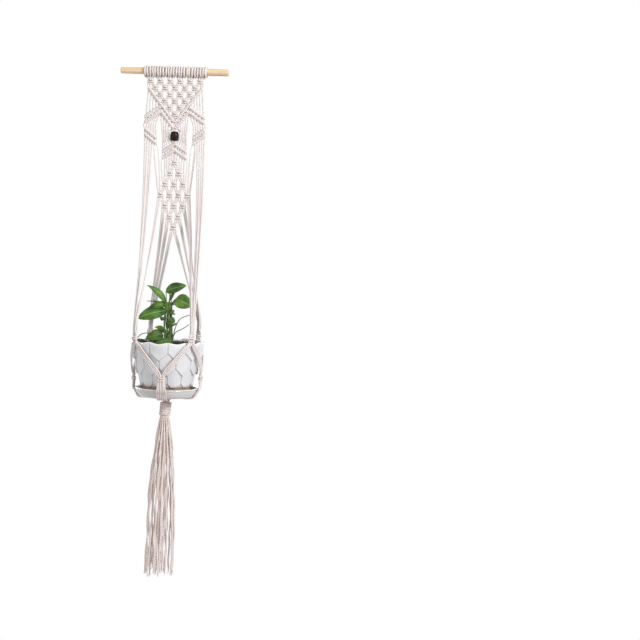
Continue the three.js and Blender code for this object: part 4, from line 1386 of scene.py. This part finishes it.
def pot_outline():
    """The pot's section: its foot, its side in even steps down from the rim, its lip and its inside."""
    side_top = POT_RIM - POT_LIP
    levels = np.linspace(side_top, POT_FOOT + 1.2, SIDE_SAMPLES)
    radii = np.array([pot_radius(z) for z in levels])
    run = np.concatenate([[0], np.cumsum(np.hypot(np.diff(levels), np.diff(radii)))])
    step = SCALE_FALL / MM / ROWS_IN_FALL
    outline = [(0, POT_FOOT + 0.6), (POT_FOOT_RADIUS - 7, POT_FOOT + 0.6), (POT_FOOT_RADIUS - 5, POT_FOOT),
               (POT_FOOT_RADIUS - 2.4, POT_FOOT)]
    for down in reversed(np.arange(int(run[-1] / step) + 1) * step):
        z = float(np.interp(down, run, levels))
        outline.append((pot_radius(z), z, down, 1, max(0, 1 - down / 16)))
    outline += round_lip(POT_RADIUS, side_top, POT_WALL / 2, first=20)
    for depth in range(2, POT_INSIDE, 4):
        z = side_top - depth
        outline.append((pot_radius(z) - POT_WALL, z, 0, 0, max(0, 1 - depth / 10)))
    return outline + [(0, POT_RIM - POT_INSIDE)]


pot = turned("pot_scaled", pot_outline(), pot_glaze, Corners=576, Seam=SEAM_TURN,
             Relief=3.6 * MM, Groove=1.4 * MM, Wave=1.5 * MM)
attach(pot, "pot")
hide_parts("pot")

# %% [markdown]
# ## The saucer
#
# A plain dish of the same ware stands in the cradle and catches the water that drains from the pot. Its
# side bulges a little between the foot ring and the rounded lip. It is turned by the same tree, with no
# scales, and its inner points count as lower down, so that the finish paints shade over its inside.

# %% Saucer
SAUCER_WALL = 4
SAUCER_BULGE = 1.2


def saucer_outline():
    """The saucer's section: its foot ring, its bulging side, its lip and its inside."""
    floor_level = SAUCER_BOTTOM + SAUCER_WALL
    outline = [
        (0, SAUCER_BOTTOM + 0.8), (SAUCER_BASE - 9, SAUCER_BOTTOM + 0.8), (SAUCER_BASE - 7.5, SAUCER_BOTTOM),
        (SAUCER_BASE - 1.6, SAUCER_BOTTOM), (SAUCER_BASE - 0.4, SAUCER_BOTTOM + 0.9)]
    for share in np.linspace(0.12, 0.9, 9):
        bulge = SAUCER_BULGE * math.sin(math.pi * share)
        outline.append((between(SAUCER_BASE, SAUCER_RADIUS, share) + bulge,
                        between(SAUCER_BOTTOM, SAUCER_RIM, share)))
    outline += round_lip(SAUCER_RADIUS, SAUCER_RIM - SAUCER_WALL / 2, SAUCER_WALL / 2, first=0)
    middle = (SAUCER_RADIUS + SAUCER_BASE) / 2 + SAUCER_BULGE - SAUCER_WALL
    return outline + [
        (SAUCER_RADIUS - SAUCER_WALL - 0.2, SAUCER_RIM - 3, 3),
        (middle, (SAUCER_BOTTOM + SAUCER_RIM) / 2, 12),
        (SAUCER_BASE - 2, floor_level + 2.2, 18), (SAUCER_BASE - 5, floor_level, 20), (0, floor_level, 70)]


saucer = turned("saucer_turned", saucer_outline(), saucer_glaze, Corners=128)
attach(saucer, "saucer")
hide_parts("saucer")

# %% [markdown]
# ## Wood
#
# The bead is turned from dark wood, stained nearly black and varnished. The dowel is bare wood: pale,
# with a fine grain along it. Rings cut at an angle could be modelled for both, but on rods and beads this
# small the eye only finds streaks, so noise is drawn out along the grain and read as three tones.

# %% Woods
DOWEL_TONES = [(0.58, 0.39, 0.22), (0.78, 0.585, 0.365), (0.87, 0.70, 0.48)]
BEAD_TONES = [(0.005, 0.001, 0.001), (0.013, 0.0035, 0.003), (0.032, 0.009, 0.008)]


def make_wood(name, tones, stretch, roughness, relief=0.0003, **constants):
    """Wood whose grain is noise, drawn out along the grain; tones run from dark to light."""
    material, tree, shader = new_material(name, tones[1], roughness, Coat_Roughness=0.08, **constants)
    place = object_place(tree)
    grain = noise(tree, stretched(tree, place, stretch), 1.0, 5.0, 0.6)
    bands = noise(tree, stretched(tree, place, tuple(s / 4 for s in stretch)), 1.0, 2.0)
    stops = list(zip((0.36, 0.5, 0.62), tones))
    ramp(tree, grain * 0.6 + bands * 0.4, stops).into(shader.inputs["Base Color"])
    bumped(tree, shader, grain, 0.35, relief)
    return material


wood = make_wood("wood", DOWEL_TONES, (14, 420, 420), 0.55)
bead_wood = make_wood("bead_wood", BEAD_TONES, (500, 500, 60), 0.36, relief=0.0001,
                      Coat_Weight=0.08, Specular_IOR_Level=0.12)
print("woods:", len(wood.node_tree.nodes), "nodes each")

# %% [markdown]
# ## The bead and the dowel
#
# Both come off a lathe. The bead is a full barrel with a bore for two strands, and its outline is half an
# ellipse that is squared a little. The dowel isn't quite true: it tapers towards its left end, its edges
# are worn, and two slow waves make it knobbly. A cylinder would do from afar, but not near the lens.

# %% Bead
BEAD_RADIUS, BEAD_HALF, BEAD_BORE = 9.55, 10, 4.3
BEAD_FULLNESS = 0.9  # of the barrel: 1 is an ellipse and 0 a straight tube
BEAD_STEPS = 24


def bead_outline():
    bore = (BEAD_BORE, BEAD.z + BEAD_HALF - 1.2)
    outline = [bore, (BEAD_BORE, BEAD.z - BEAD_HALF + 1.2)]
    for step in range(BEAD_STEPS + 1):
        turn = math.radians(-90 + 180 * step / BEAD_STEPS)
        bulge = abs(math.cos(turn)) ** BEAD_FULLNESS * (BEAD_RADIUS - BEAD_BORE - 1)
        outline.append((BEAD_BORE + 1 + bulge, BEAD.z + BEAD_HALF * math.sin(turn)))
    return outline + [bore]


bead = turned("bead_turned", bead_outline(), bead_wood, Corners=64)
bead.data.transform(Matrix.Translation((lean(BEAD.z) * MM, 0, 0)))
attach(bead, "bead")
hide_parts("bead")

# %% Dowel
RAIL_END = 6.6  # radius at its thin end
TAPER_LENGTH = 60


def dowel_outline():
    half = rail_high.x / MM
    outline = [(0, -half), (5.4, -half), (6.1, -half + 0.5), (6.5, -half + 1.4)]
    for x in np.linspace(-half + 4, half - 1.4, 60):
        taper = min(1, max(0, (x + half) / TAPER_LENGTH))
        knobbly = 0.12 * math.sin(x * 0.11) + 0.07 * math.sin(x * 0.31 + 1)
        outline.append((between(RAIL_END, RAIL_RADIUS, taper ** 0.7) + knobbly * taper - 0.1, float(x)))
    return outline + [(RAIL_RADIUS - 0.5, half - 0.5), (RAIL_RADIUS - 1.2, half), (0, half)]


dowel = turned("dowel_turned", dowel_outline(), wood, Corners=48)
dowel.data.transform(Matrix.Rotation(math.pi / 2, 4, "Y"))
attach(dowel, "dowel")
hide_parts("dowel")

# %% [markdown]
# ## Soil
#
# Potting soil is dark and crumbly: peat, bits of bark and small clods. Bump alone would leave its outline
# smooth. A low mound fills the pot, and the tree scatters crumbs of many sizes over it. Each crumb is one
# small round shape, turned and squeezed by random numbers with a fixed seed.

# %% The tree for soil
soil_tree = new_tree("crumbs of soil", {
    "Density": "value", "Smallest": "value", "Largest": "value", "Seed": "count", "Finish": "material"})


def random_vector(tree, low, high, seed):
    return wire(tree, "FunctionNodeRandomValue", {0: low, 1: high, "Seed": seed}, data_type="FLOAT_VECTOR")


def build_soil_tree(tree):
    given = wires_of(tree, "NodeGroupInput")
    scattered = wire(tree, "GeometryNodeDistributePointsOnFaces",
                     {"Mesh": given["Geometry"], "Density": given["Density"], "Seed": given["Seed"]})
    crumb = wire(tree, "GeometryNodeMeshIcoSphere", {"Radius": 1.0, "Subdivisions": 2})
    size = add_node(tree, "FunctionNodeRandomValue",
                    {2: given["Smallest"], 3: given["Largest"], "Seed": given["Seed"]}, data_type="FLOAT")
    placed = wire(tree, "GeometryNodeInstanceOnPoints", {
        "Points": scattered, "Instance": crumb, "Scale": Wire(tree, size.outputs[1]),
        "Rotation": random_vector(tree, (0, 0, 0), (math.tau, math.tau, math.tau), 3)})
    uneven = wire(tree, "GeometryNodeScaleInstances", {
        "Instances": placed, "Scale": random_vector(tree, (0.6, 0.45, 0.6), (1.5, 0.9, 1.1), 5)})
    joined = add_node(tree, "GeometryNodeJoinGeometry")
    for source in (given["Geometry"], uneven):
        source.into(joined.inputs[0])
    end_tree(tree, Wire(tree, joined.outputs[0]), given["Finish"], smooth=False)


build_soil_tree(soil_tree)
print("the soil's tree has", len(soil_tree.nodes), "nodes")

# %% Soil
SOIL_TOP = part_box("soil")[1].z / MM
MOUND = 5  # the soil stands a little higher than a level filling
SOIL_DEPTH = 26
SOIL_TONES = [(0.35, (0.012, 0.008, 0.006)), (0.52, (0.05, 0.03, 0.018)), (0.68, (0.13, 0.075, 0.04))]


def make_soil():
    material, tree, shader = new_material("soil", (0.05, 0.03, 0.018), 0.95, Specular_IOR_Level=0.2)
    specks = noise(tree, object_place(tree), 260.0, 4.0, 0.7)
    ramp(tree, specks, SOIL_TONES).into(shader.inputs["Base Color"])
    bumped(tree, shader, specks, 0.8, 0.001)
    return material


def mound_outline():
    radius = pot_radius(SOIL_TOP) - POT_WALL - 0.6
    level = SOIL_TOP + MOUND
    outline = [(0, SOIL_TOP - SOIL_DEPTH), (radius - 6, SOIL_TOP - SOIL_DEPTH), (radius, level - 2)]
    for share in (0.92, 0.8, 0.65, 0.5, 0.35, 0.2, 0.1):
        outline.append((radius * share, level + 1.4 * math.cos(share * math.pi / 2) - 1))
    return outline + [(0, level + 0.5)]


soil_finish = make_soil()
soil = turned("soil_mound", mound_outline(), soil_finish, Corners=72)
run_tree(soil, soil_tree, {"Density": 26000.0, "Smallest": 0.7 * MM, "Largest": 2.3 * MM, "Seed": 4,
                           "Finish": soil_finish})
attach(soil, "pot")
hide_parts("soil")
print("soil", len(soil.data.polygons), "faces")

# %% [markdown]
# ## The leaves
#
# A small potted plant with broad, glossy leaves. Each leaf is folded a little along its midrib, arches,
# and is ribbed by side veins. Flat cut-outs with a printed leaf would look like card from the side. Each
# leaf is a thin sheet instead, made from its base, its tip and the way it faces, and every point knows
# its place along and across the leaf, which the finish uses to draw the veins.

# %% Where the leaves are
# base, tip, half width, the way its face looks, arch, how round its outline is
LEAVES = [
    ((-6, -4, 116), (38, -12, 131), 13, (0.1, -0.85, 0.5), 0.10, 0.7),
    ((-5, -6, 92), (-43, -14, 131), 10, (0.5, -0.6, 0.6), 0.16, 0.85),
    ((18, -16, 101), (52, -26, 88), 17, (0.2, -0.95, 0.25), 0.10, 0.5),
    ((-4, -14, 75), (-62, -22, 59), 17, (-0.1, -0.85, 0.5), 0.12, 0.6),
    ((-4, -8, 88), (-40, -14, 82), 9, (0.1, -0.8, 0.6), 0.12, 0.6),
    ((-6, 8, 88), (-38, 22, 82), 11, (-0.3, -0.5, 0.8), 0.12, 0.75),
    ((4, -14, 59), (17, -22, 51), 7.5, (0.2, -0.95, 0.25), 0.05, 0.45),
    ((-8, -2, 88), (-50, 4, 95), 6, (0, -0.3, 0.95), 0.08, 1.0),
    ((-8, -14, 23), (-42, -28, 17), 12.5, (0.1, -0.9, 0.45), 0.2, 0.55),
    ((-16, 16, 8), (-54, 22, 12), 8, (-0.1, -0.6, 0.8), 0.12, 0.7),
    ((17, -34, 13), (-18, -46, 9), 8.5, (0, -0.8, 0.6), 0.12, 0.6),
    ((10, 14, 92), (40, 30, 100), 13, (0.2, -0.3, 0.9), 0.12, 0.7),
    ((2, 16, 66), (-14, 50, 74), 13, (-0.2, 0.3, 0.9), 0.12, 0.7),
    ((1, -6, 70), (-2, -16, 94), 8, (0.15, -0.95, 0.3), 0.08, 0.65),
    ((4, -4, 98), (13, -10, 114), 6, (-0.6, -0.7, 0.4), 0.1, 0.8),
    ((8, -8, 30), (5, -18, 2), 7, (0.2, -0.95, 0.2), 0.1, 0.7),
    ((-6, -8, 34), (-26, -16, 40), 6, (0.3, -0.7, 0.7), 0.15, 0.8),
    ((-44, -10, 6), (-66, -14, 12), 4, (0, -0.7, 0.7), 0.1, 0.8),
    ((-8, 10, 24), (-30, 34, 34), 9, (-0.3, 0.2, 0.9), 0.2, 0.7),
    ((6, 10, 40), (8, 42, 46), 9, (0.1, 0.2, 0.9), 0.2, 0.7),
    ((0, 6, 84), (8, 42, 90), 12, (0.2, 0.5, 0.85), 0.15, 0.65),
    ((-5, 12, 56), (-22, 46, 52), 11, (-0.2, 0.6, 0.8), 0.15, 0.65),
    ((4, 10, 66), (-6, 46, 70), 11, (0.3, 0.5, 0.8), 0.15, 0.7),
    ((-2, 10, 12), (2, 42, 20), 10, (0, 0.5, 0.85), 0.18, 0.7),
]
print(len(LEAVES), "leaves")

# %% The shape of a leaf
LEAF_ROWS, LEAF_COLUMNS = 22, 12
LEAF_THICKNESS = 0.5
LEAF_FOLD = 0.22  # how steeply the halves rise from the midrib
VEINS = 6  # ripples of the side veins along the leaf


def leaf_sheet(base, tip, half_width, face, arch, roundness):
    """Points, faces and (along, across) values of one leaf, in millimetres above the soil."""
    base, tip, face = (np.array(v, float) for v in (base, tip, face))
    along = tip - base
    length = np.linalg.norm(along)
    along /= length
    face -= along * (face @ along)
    face /= np.linalg.norm(face)
    side = np.cross(along, face)
    points, marks, faces = [], [], []
    for row in range(LEAF_ROWS + 1):
        t = 0.01 + 0.985 * row / LEAF_ROWS
        width = half_width * math.sin(math.pi * t ** 0.82) ** roundness * (1 - 0.1 * t)
        arched = arch * length * (2.4 * t * (1 - t) - 0.5 * t * t)
        for column in range(LEAF_COLUMNS + 1):
            w = 2 * column / LEAF_COLUMNS - 1
            folded = abs(w) * width * LEAF_FOLD - w * w * width * 0.12
            ribbed = 0.22 * math.sin(math.tau * (t * VEINS - abs(w) * 1.2)) * abs(w)
            points.append(base + along * length * t + side * w * width + face * (arched + folded + ribbed))
            marks.append((t, w))
            if row and column:
                corner = len(points) - 1
                before = corner - LEAF_COLUMNS - 1
                faces.append((before - 1, before, corner, corner - 1))
    return points, faces, marks


# %% All the leaves in one mesh
def make_leaves(name, finish):
    bm = bmesh.new()
    mark = bm.loops.layers.uv.new("along_across")
    for number, spec in enumerate(LEAVES):
        points, faces, marks = leaf_sheet(*spec)
        corners = [bm.verts.new((x * MM, y * MM, (z + SOIL_TOP + 0.3) * MM)) for x, y, z in points]
        new_faces = []
        for ids in faces:
            face = bm.faces.new([corners[n] for n in ids])
            for loop, n in zip(face.loops, ids):
                loop[mark].uv = (marks[n][0] + number, marks[n][1])
            new_faces.append(face)
        bmesh.ops.recalc_face_normals(bm, faces=new_faces)
        bmesh.ops.solidify(bm, geom=new_faces, thickness=LEAF_THICKNESS * MM)
    mesh = bpy.data.meshes.new(name)
    bm.to_mesh(mesh)
    bm.free()
    mesh.materials.append(finish)
    mesh.shade_smooth()
    return put_in_scene(name, mesh)


# %% [markdown]
# ## The leaves' finish
#
# The leaves are mid-green and glossy, with a pale midrib, side veins and a darker edge, and they are
# darker low down, where the plant shades itself. Every leaf's own number, kept with its place along, picks
# a slightly different green. A little light passes through, as it does in a thin leaf.

# %% Leaf finish
WHITE, BLACK = (1, 1, 1), (0, 0, 0)
FLESH_TONES = [(0.35, (0.026, 0.088, 0.010)), (0.5, (0.085, 0.20, 0.020)), (0.66, (0.17, 0.32, 0.045))]
LEAF_TINTS = [(0.0, (0.45, 0.6, 0.5)), (0.5, WHITE), (1.0, (1.1, 1.0, 0.8))]
VEIN_TONE = (0.22, 0.42, 0.10)
MIDRIB_TONE = (0.34, 0.50, 0.18)
SHADED_TONE = (0.022, 0.06, 0.012)


def make_leaf_finish():
    material, tree, shader = new_material(
        "leaf", (0.05, 0.19, 0.03), 0.42, Specular_IOR_Level=0.35, Subsurface_Weight=0.08,
        Subsurface_Radius=(0.002, 0.004, 0.001), Subsurface_Scale=0.4)
    place = object_place(tree)
    mark, across_leaf, _ = split(tree, wire(tree, "ShaderNodeUVMap", uv_map="along_across"))
    t, w = mark.through("FRACT"), across_leaf.through("ABSOLUTE")
    to_vein = ((t * 9.0 - w * 2.2).through("FRACT") - 0.5).through("ABSOLUTE")
    vein = ramp(tree, to_vein, [(0.0, WHITE), (0.09, BLACK)])
    midrib = ramp(tree, w, [(0.03, WHITE), (0.09, BLACK)])
    number = (mark.through("FLOOR") * 0.37).through("FRACT")
    flesh = ramp(tree, noise(tree, place, 55.0, 3.0), FLESH_TONES)
    flesh = mix_colour(tree, 1.0, flesh, ramp(tree, number, LEAF_TINTS), blend="MULTIPLY")
    flesh = mix_colour(tree, vein * 0.35, flesh, VEIN_TONE)
    flesh = mix_colour(tree, midrib * 0.7, flesh, MIDRIB_TONE)
    _, _, level = split(tree, place)
    low = grade(tree, level, (SOIL_TOP + 50) * MM, (SOIL_TOP + 20) * MM)
    flesh = mix_colour(tree, low * 0.6, flesh, SHADED_TONE)
    edge = ramp(tree, w, [(0.84, WHITE), (1.0, (0.45, 0.5, 0.45))])
    mix_colour(tree, 1.0, flesh, edge, blend="MULTIPLY").into(shader.inputs["Base Color"])
    bumped(tree, shader, vein + midrib * 2.0, 0.5, 0.0003, invert=True)
    return material


leaf_finish = make_leaf_finish()
leaves = make_leaves("plant_leaves", leaf_finish)
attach(leaves, "pot")
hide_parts("plant")
print("leaves", len(LEAVES), "with", len(leaves.data.polygons), "faces")

# %% [markdown]
# ## Stems and stalks
#
# Six stems rise from the soil, a few bare twigs stand among them, and every leaf hangs on a stalk of its
# own from the nearest stem below it. They could be skinned from lines by a modifier, but that gives blunt
# joints. The cord's tree already sweeps a tapering line, so it makes these too, with hardly any lobes.

# %% Where the stems are
STEMS = [
    [(0, 0, -2), (3, -1, 28), (4, -2, 52), (2, -3, 84), (3, -4, 112)],
    [(-5, -4, -2), (-6, -6, 24), (-7, -10, 54), (-5, -8, 82), (-4, -6, 96)],
    [(7, 2, -2), (8, 0, 30), (7, -4, 66), (9, -8, 90), (18, -16, 101)],
    [(-2, 6, -2), (-3, 8, 40), (-5, 8, 88)],
    [(3, -8, -2), (5, -10, 22), (4, -12, 44), (4, -14, 59)],
    [(-9, -6, -2), (-4, -10, 18), (1, -8, 42), (1, -6, 66)],
    [(10, -4, -2), (6, -8, 16), (-2, -10, 40), (-4, -14, 75)],
]
TWIGS = [
    [(9, -4, -1), (13, -8, 18), (17, -12, 38), (28, -14, 59), (48, -14, 68)],
    [(8, -5, -1), (11, -10, 14), (19, -14, 30), (32, -16, 37), (48, -16, 48)],
    [(-16, -4, -1), (-42, -8, 25), (-54, -8, 24), (-66, -8, 14)],
    [(-10, -10, -1), (-30, -24, 9), (-44, -10, 6)],
    [(-14, -12, 30), (-24, -14, 34), (-32, -16, 31)],
    [(2, 10, -1), (2, 22, 30), (-4, 32, 44)],
]
print(len(STEMS), "stems and", len(TWIGS), "twigs")

# %% Stems, twigs and stalks
STEM_TONES = [(0.32, (0.035, 0.05, 0.016)), (0.52, (0.10, 0.20, 0.04)), (0.72, (0.34, 0.42, 0.16))]
STALK_DROP = 4  # a stalk leaves its stem at least this far below its leaf


def stem_run(points, thick, thin):
    """A smooth tapering run through a few points above the soil, in the form of a strand's samples."""
    count = len(points) - 1
    radii = [between(thick, thin, n / count) for n in range(count + 1)]
    return smooth([("stem", x, y, z + SOIL_TOP, radius) for (x, y, z), radius in zip(points, radii)])[1]


def stalk_for(spec):
    """A leaf's stalk: from the nearest part of a stem, a little lower, to the base of the leaf."""
    base, tip = (np.array(v, float) for v in spec[:2])
    along = (tip - base) / np.linalg.norm(tip - base)
    stems = [np.array(p, float) for stem in STEMS for p in stem]
    below = [p for p in stems if p[2] < base[2] - STALK_DROP] or [np.array([0, 0, -2.0])]
    foot = min(below, key=lambda p: np.linalg.norm(p - base))
    middle = (foot + base) / 2 + np.array([0, 0, 3.0])
    return [foot, middle, base, base + along * 4]


def make_stem_finish():
    material, tree, shader = new_material("stem", (0.10, 0.16, 0.04), 0.5)
    ramp(tree, noise(tree, object_place(tree), 70.0, 3.0), STEM_TONES).into(shader.inputs["Base Color"])
    return material


stem_runs = [stem_run(STEMS[0], 2.8, 1.5)]
stem_runs += [stem_run(points, 2.3, 1.2) for points in STEMS[1:]]
stem_runs += [stem_run(points, 1.2, 0.9) for points in TWIGS]
stem_runs += [stem_run(stalk_for(spec), 1.1, 0.8) for spec in LEAVES]
stems = run_tree(cord_lines("plant_stems", stem_runs), cord_tree, {
    "Step": 2 * MM, "Lay": 40 * MM, "Lobe": 0.03, "Corners": 9, "Finish": make_stem_finish()})
faces_outwards(stems)
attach(stems, "pot")
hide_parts("plant")
print("stems", len(stem_runs), "with", len(stems.data.polygons), "faces")

# %% [markdown]
# ## Light, backdrop and floor
#
# The planter hangs in a white studio. Walls could be modelled and lit, but they would have to be lit
# evenly. The world is white where it is seen or mirrored, but lights the scene more weakly, so that the
# gaps between strands stay dark. A soft key light stands in front on the right. The floor takes the
# shadow below the planter and fades into the white backdrop further out.

# %% World
AMBIENT = 0.54


def seen_ray(tree):
    """1 for rays that are seen, mirrored or passed on, and 0 for rays that light the scene."""
    path = wires_of(tree, "ShaderNodeLightPath")
    return path["Is Camera Ray"].at_least(path["Is Glossy Ray"]).at_least(path["Is Transmission Ray"])


def make_world():
    world = bpy.data.worlds.new("studio")
    scene.world = world
    world.use_nodes = True
    tree = world.node_tree
    background = tree.nodes["Background"]
    background.inputs["Color"].default_value = (1, 1, 1, 1)
    (seen_ray(tree) * (1.0 - AMBIENT) + AMBIENT).into(background.inputs["Strength"])


make_world()
print("the world lights the scene at", AMBIENT)

# %% Lamps
def area_light(name, place, target, size, power):
    data = bpy.data.lights.new(name, "AREA")
    data.shape = "DISK"
    data.size = size
    data.energy = power
    light = put_in_scene(name, data)
    light.location = place
    direction = Vector(target) - Vector(place)
    light.rotation_euler = direction.to_track_quat("-Z", "Y").to_euler()


area_light("key", (2.5, -1.9, 0.9), (0, 0, -0.45), 1.0, 82)
area_light("fill", (-1.6, -2.4, 0.1), (0, 0, -0.5), 1.6, 12)
area_light("back", (-1.4, 2.6, 0.6), (0, 0, -0.5), 1.6, 36)
print("lamps:", [light.name for light in bpy.data.lights])

# %% Floor
FLOOR_Z = -1.35
FLOOR_RADIUS = 9
FLOOR_FADE = (0.22, 0.42)  # metres from the middle between which the floor turns into backdrop


def make_floor_finish():
    material, tree, shader = new_material("floor", (0.90, 0.90, 0.90), 0.9)
    seen = wires_of(tree, "ShaderNodeLightPath")["Is Camera Ray"]
    mix_colour(tree, seen, (0.5, 0.5, 0.5), (0.92, 0.92, 0.92)).into(shader.inputs["Base Color"])
    level = wire(tree, "ShaderNodeVectorMath", {0: object_place(tree), 1: (1, 1, 0)}, operation="MULTIPLY")
    away = add_node(tree, "ShaderNodeVectorMath", {0: level}, operation="LENGTH").outputs["Value"]
    far = grade(tree, Wire(tree, away), *FLOOR_FADE, way="SMOOTHSTEP")
    white = wire(tree, "ShaderNodeEmission", {"Color": (1, 1, 1, 1), "Strength": 1.0})
    mixed = wire(tree, "ShaderNodeMixShader", {
        0: far * seen_ray(tree), 1: Wire(tree, shader.outputs[0]), 2: white})
    mixed.into(tree.nodes["Material Output"].inputs["Surface"])
    return material


def make_floor():
    bm = bmesh.new()
    bmesh.ops.create_circle(bm, cap_ends=True, segments=96, radius=FLOOR_RADIUS)
    mesh = bpy.data.meshes.new("floor")
    bm.to_mesh(mesh)
    bm.free()
    mesh.transform(Matrix.Translation((0, 0, FLOOR_Z)))
    mesh.materials.append(make_floor_finish())
    return put_in_scene("floor", mesh)


make_floor()
print("floor at", FLOOR_Z, "m")
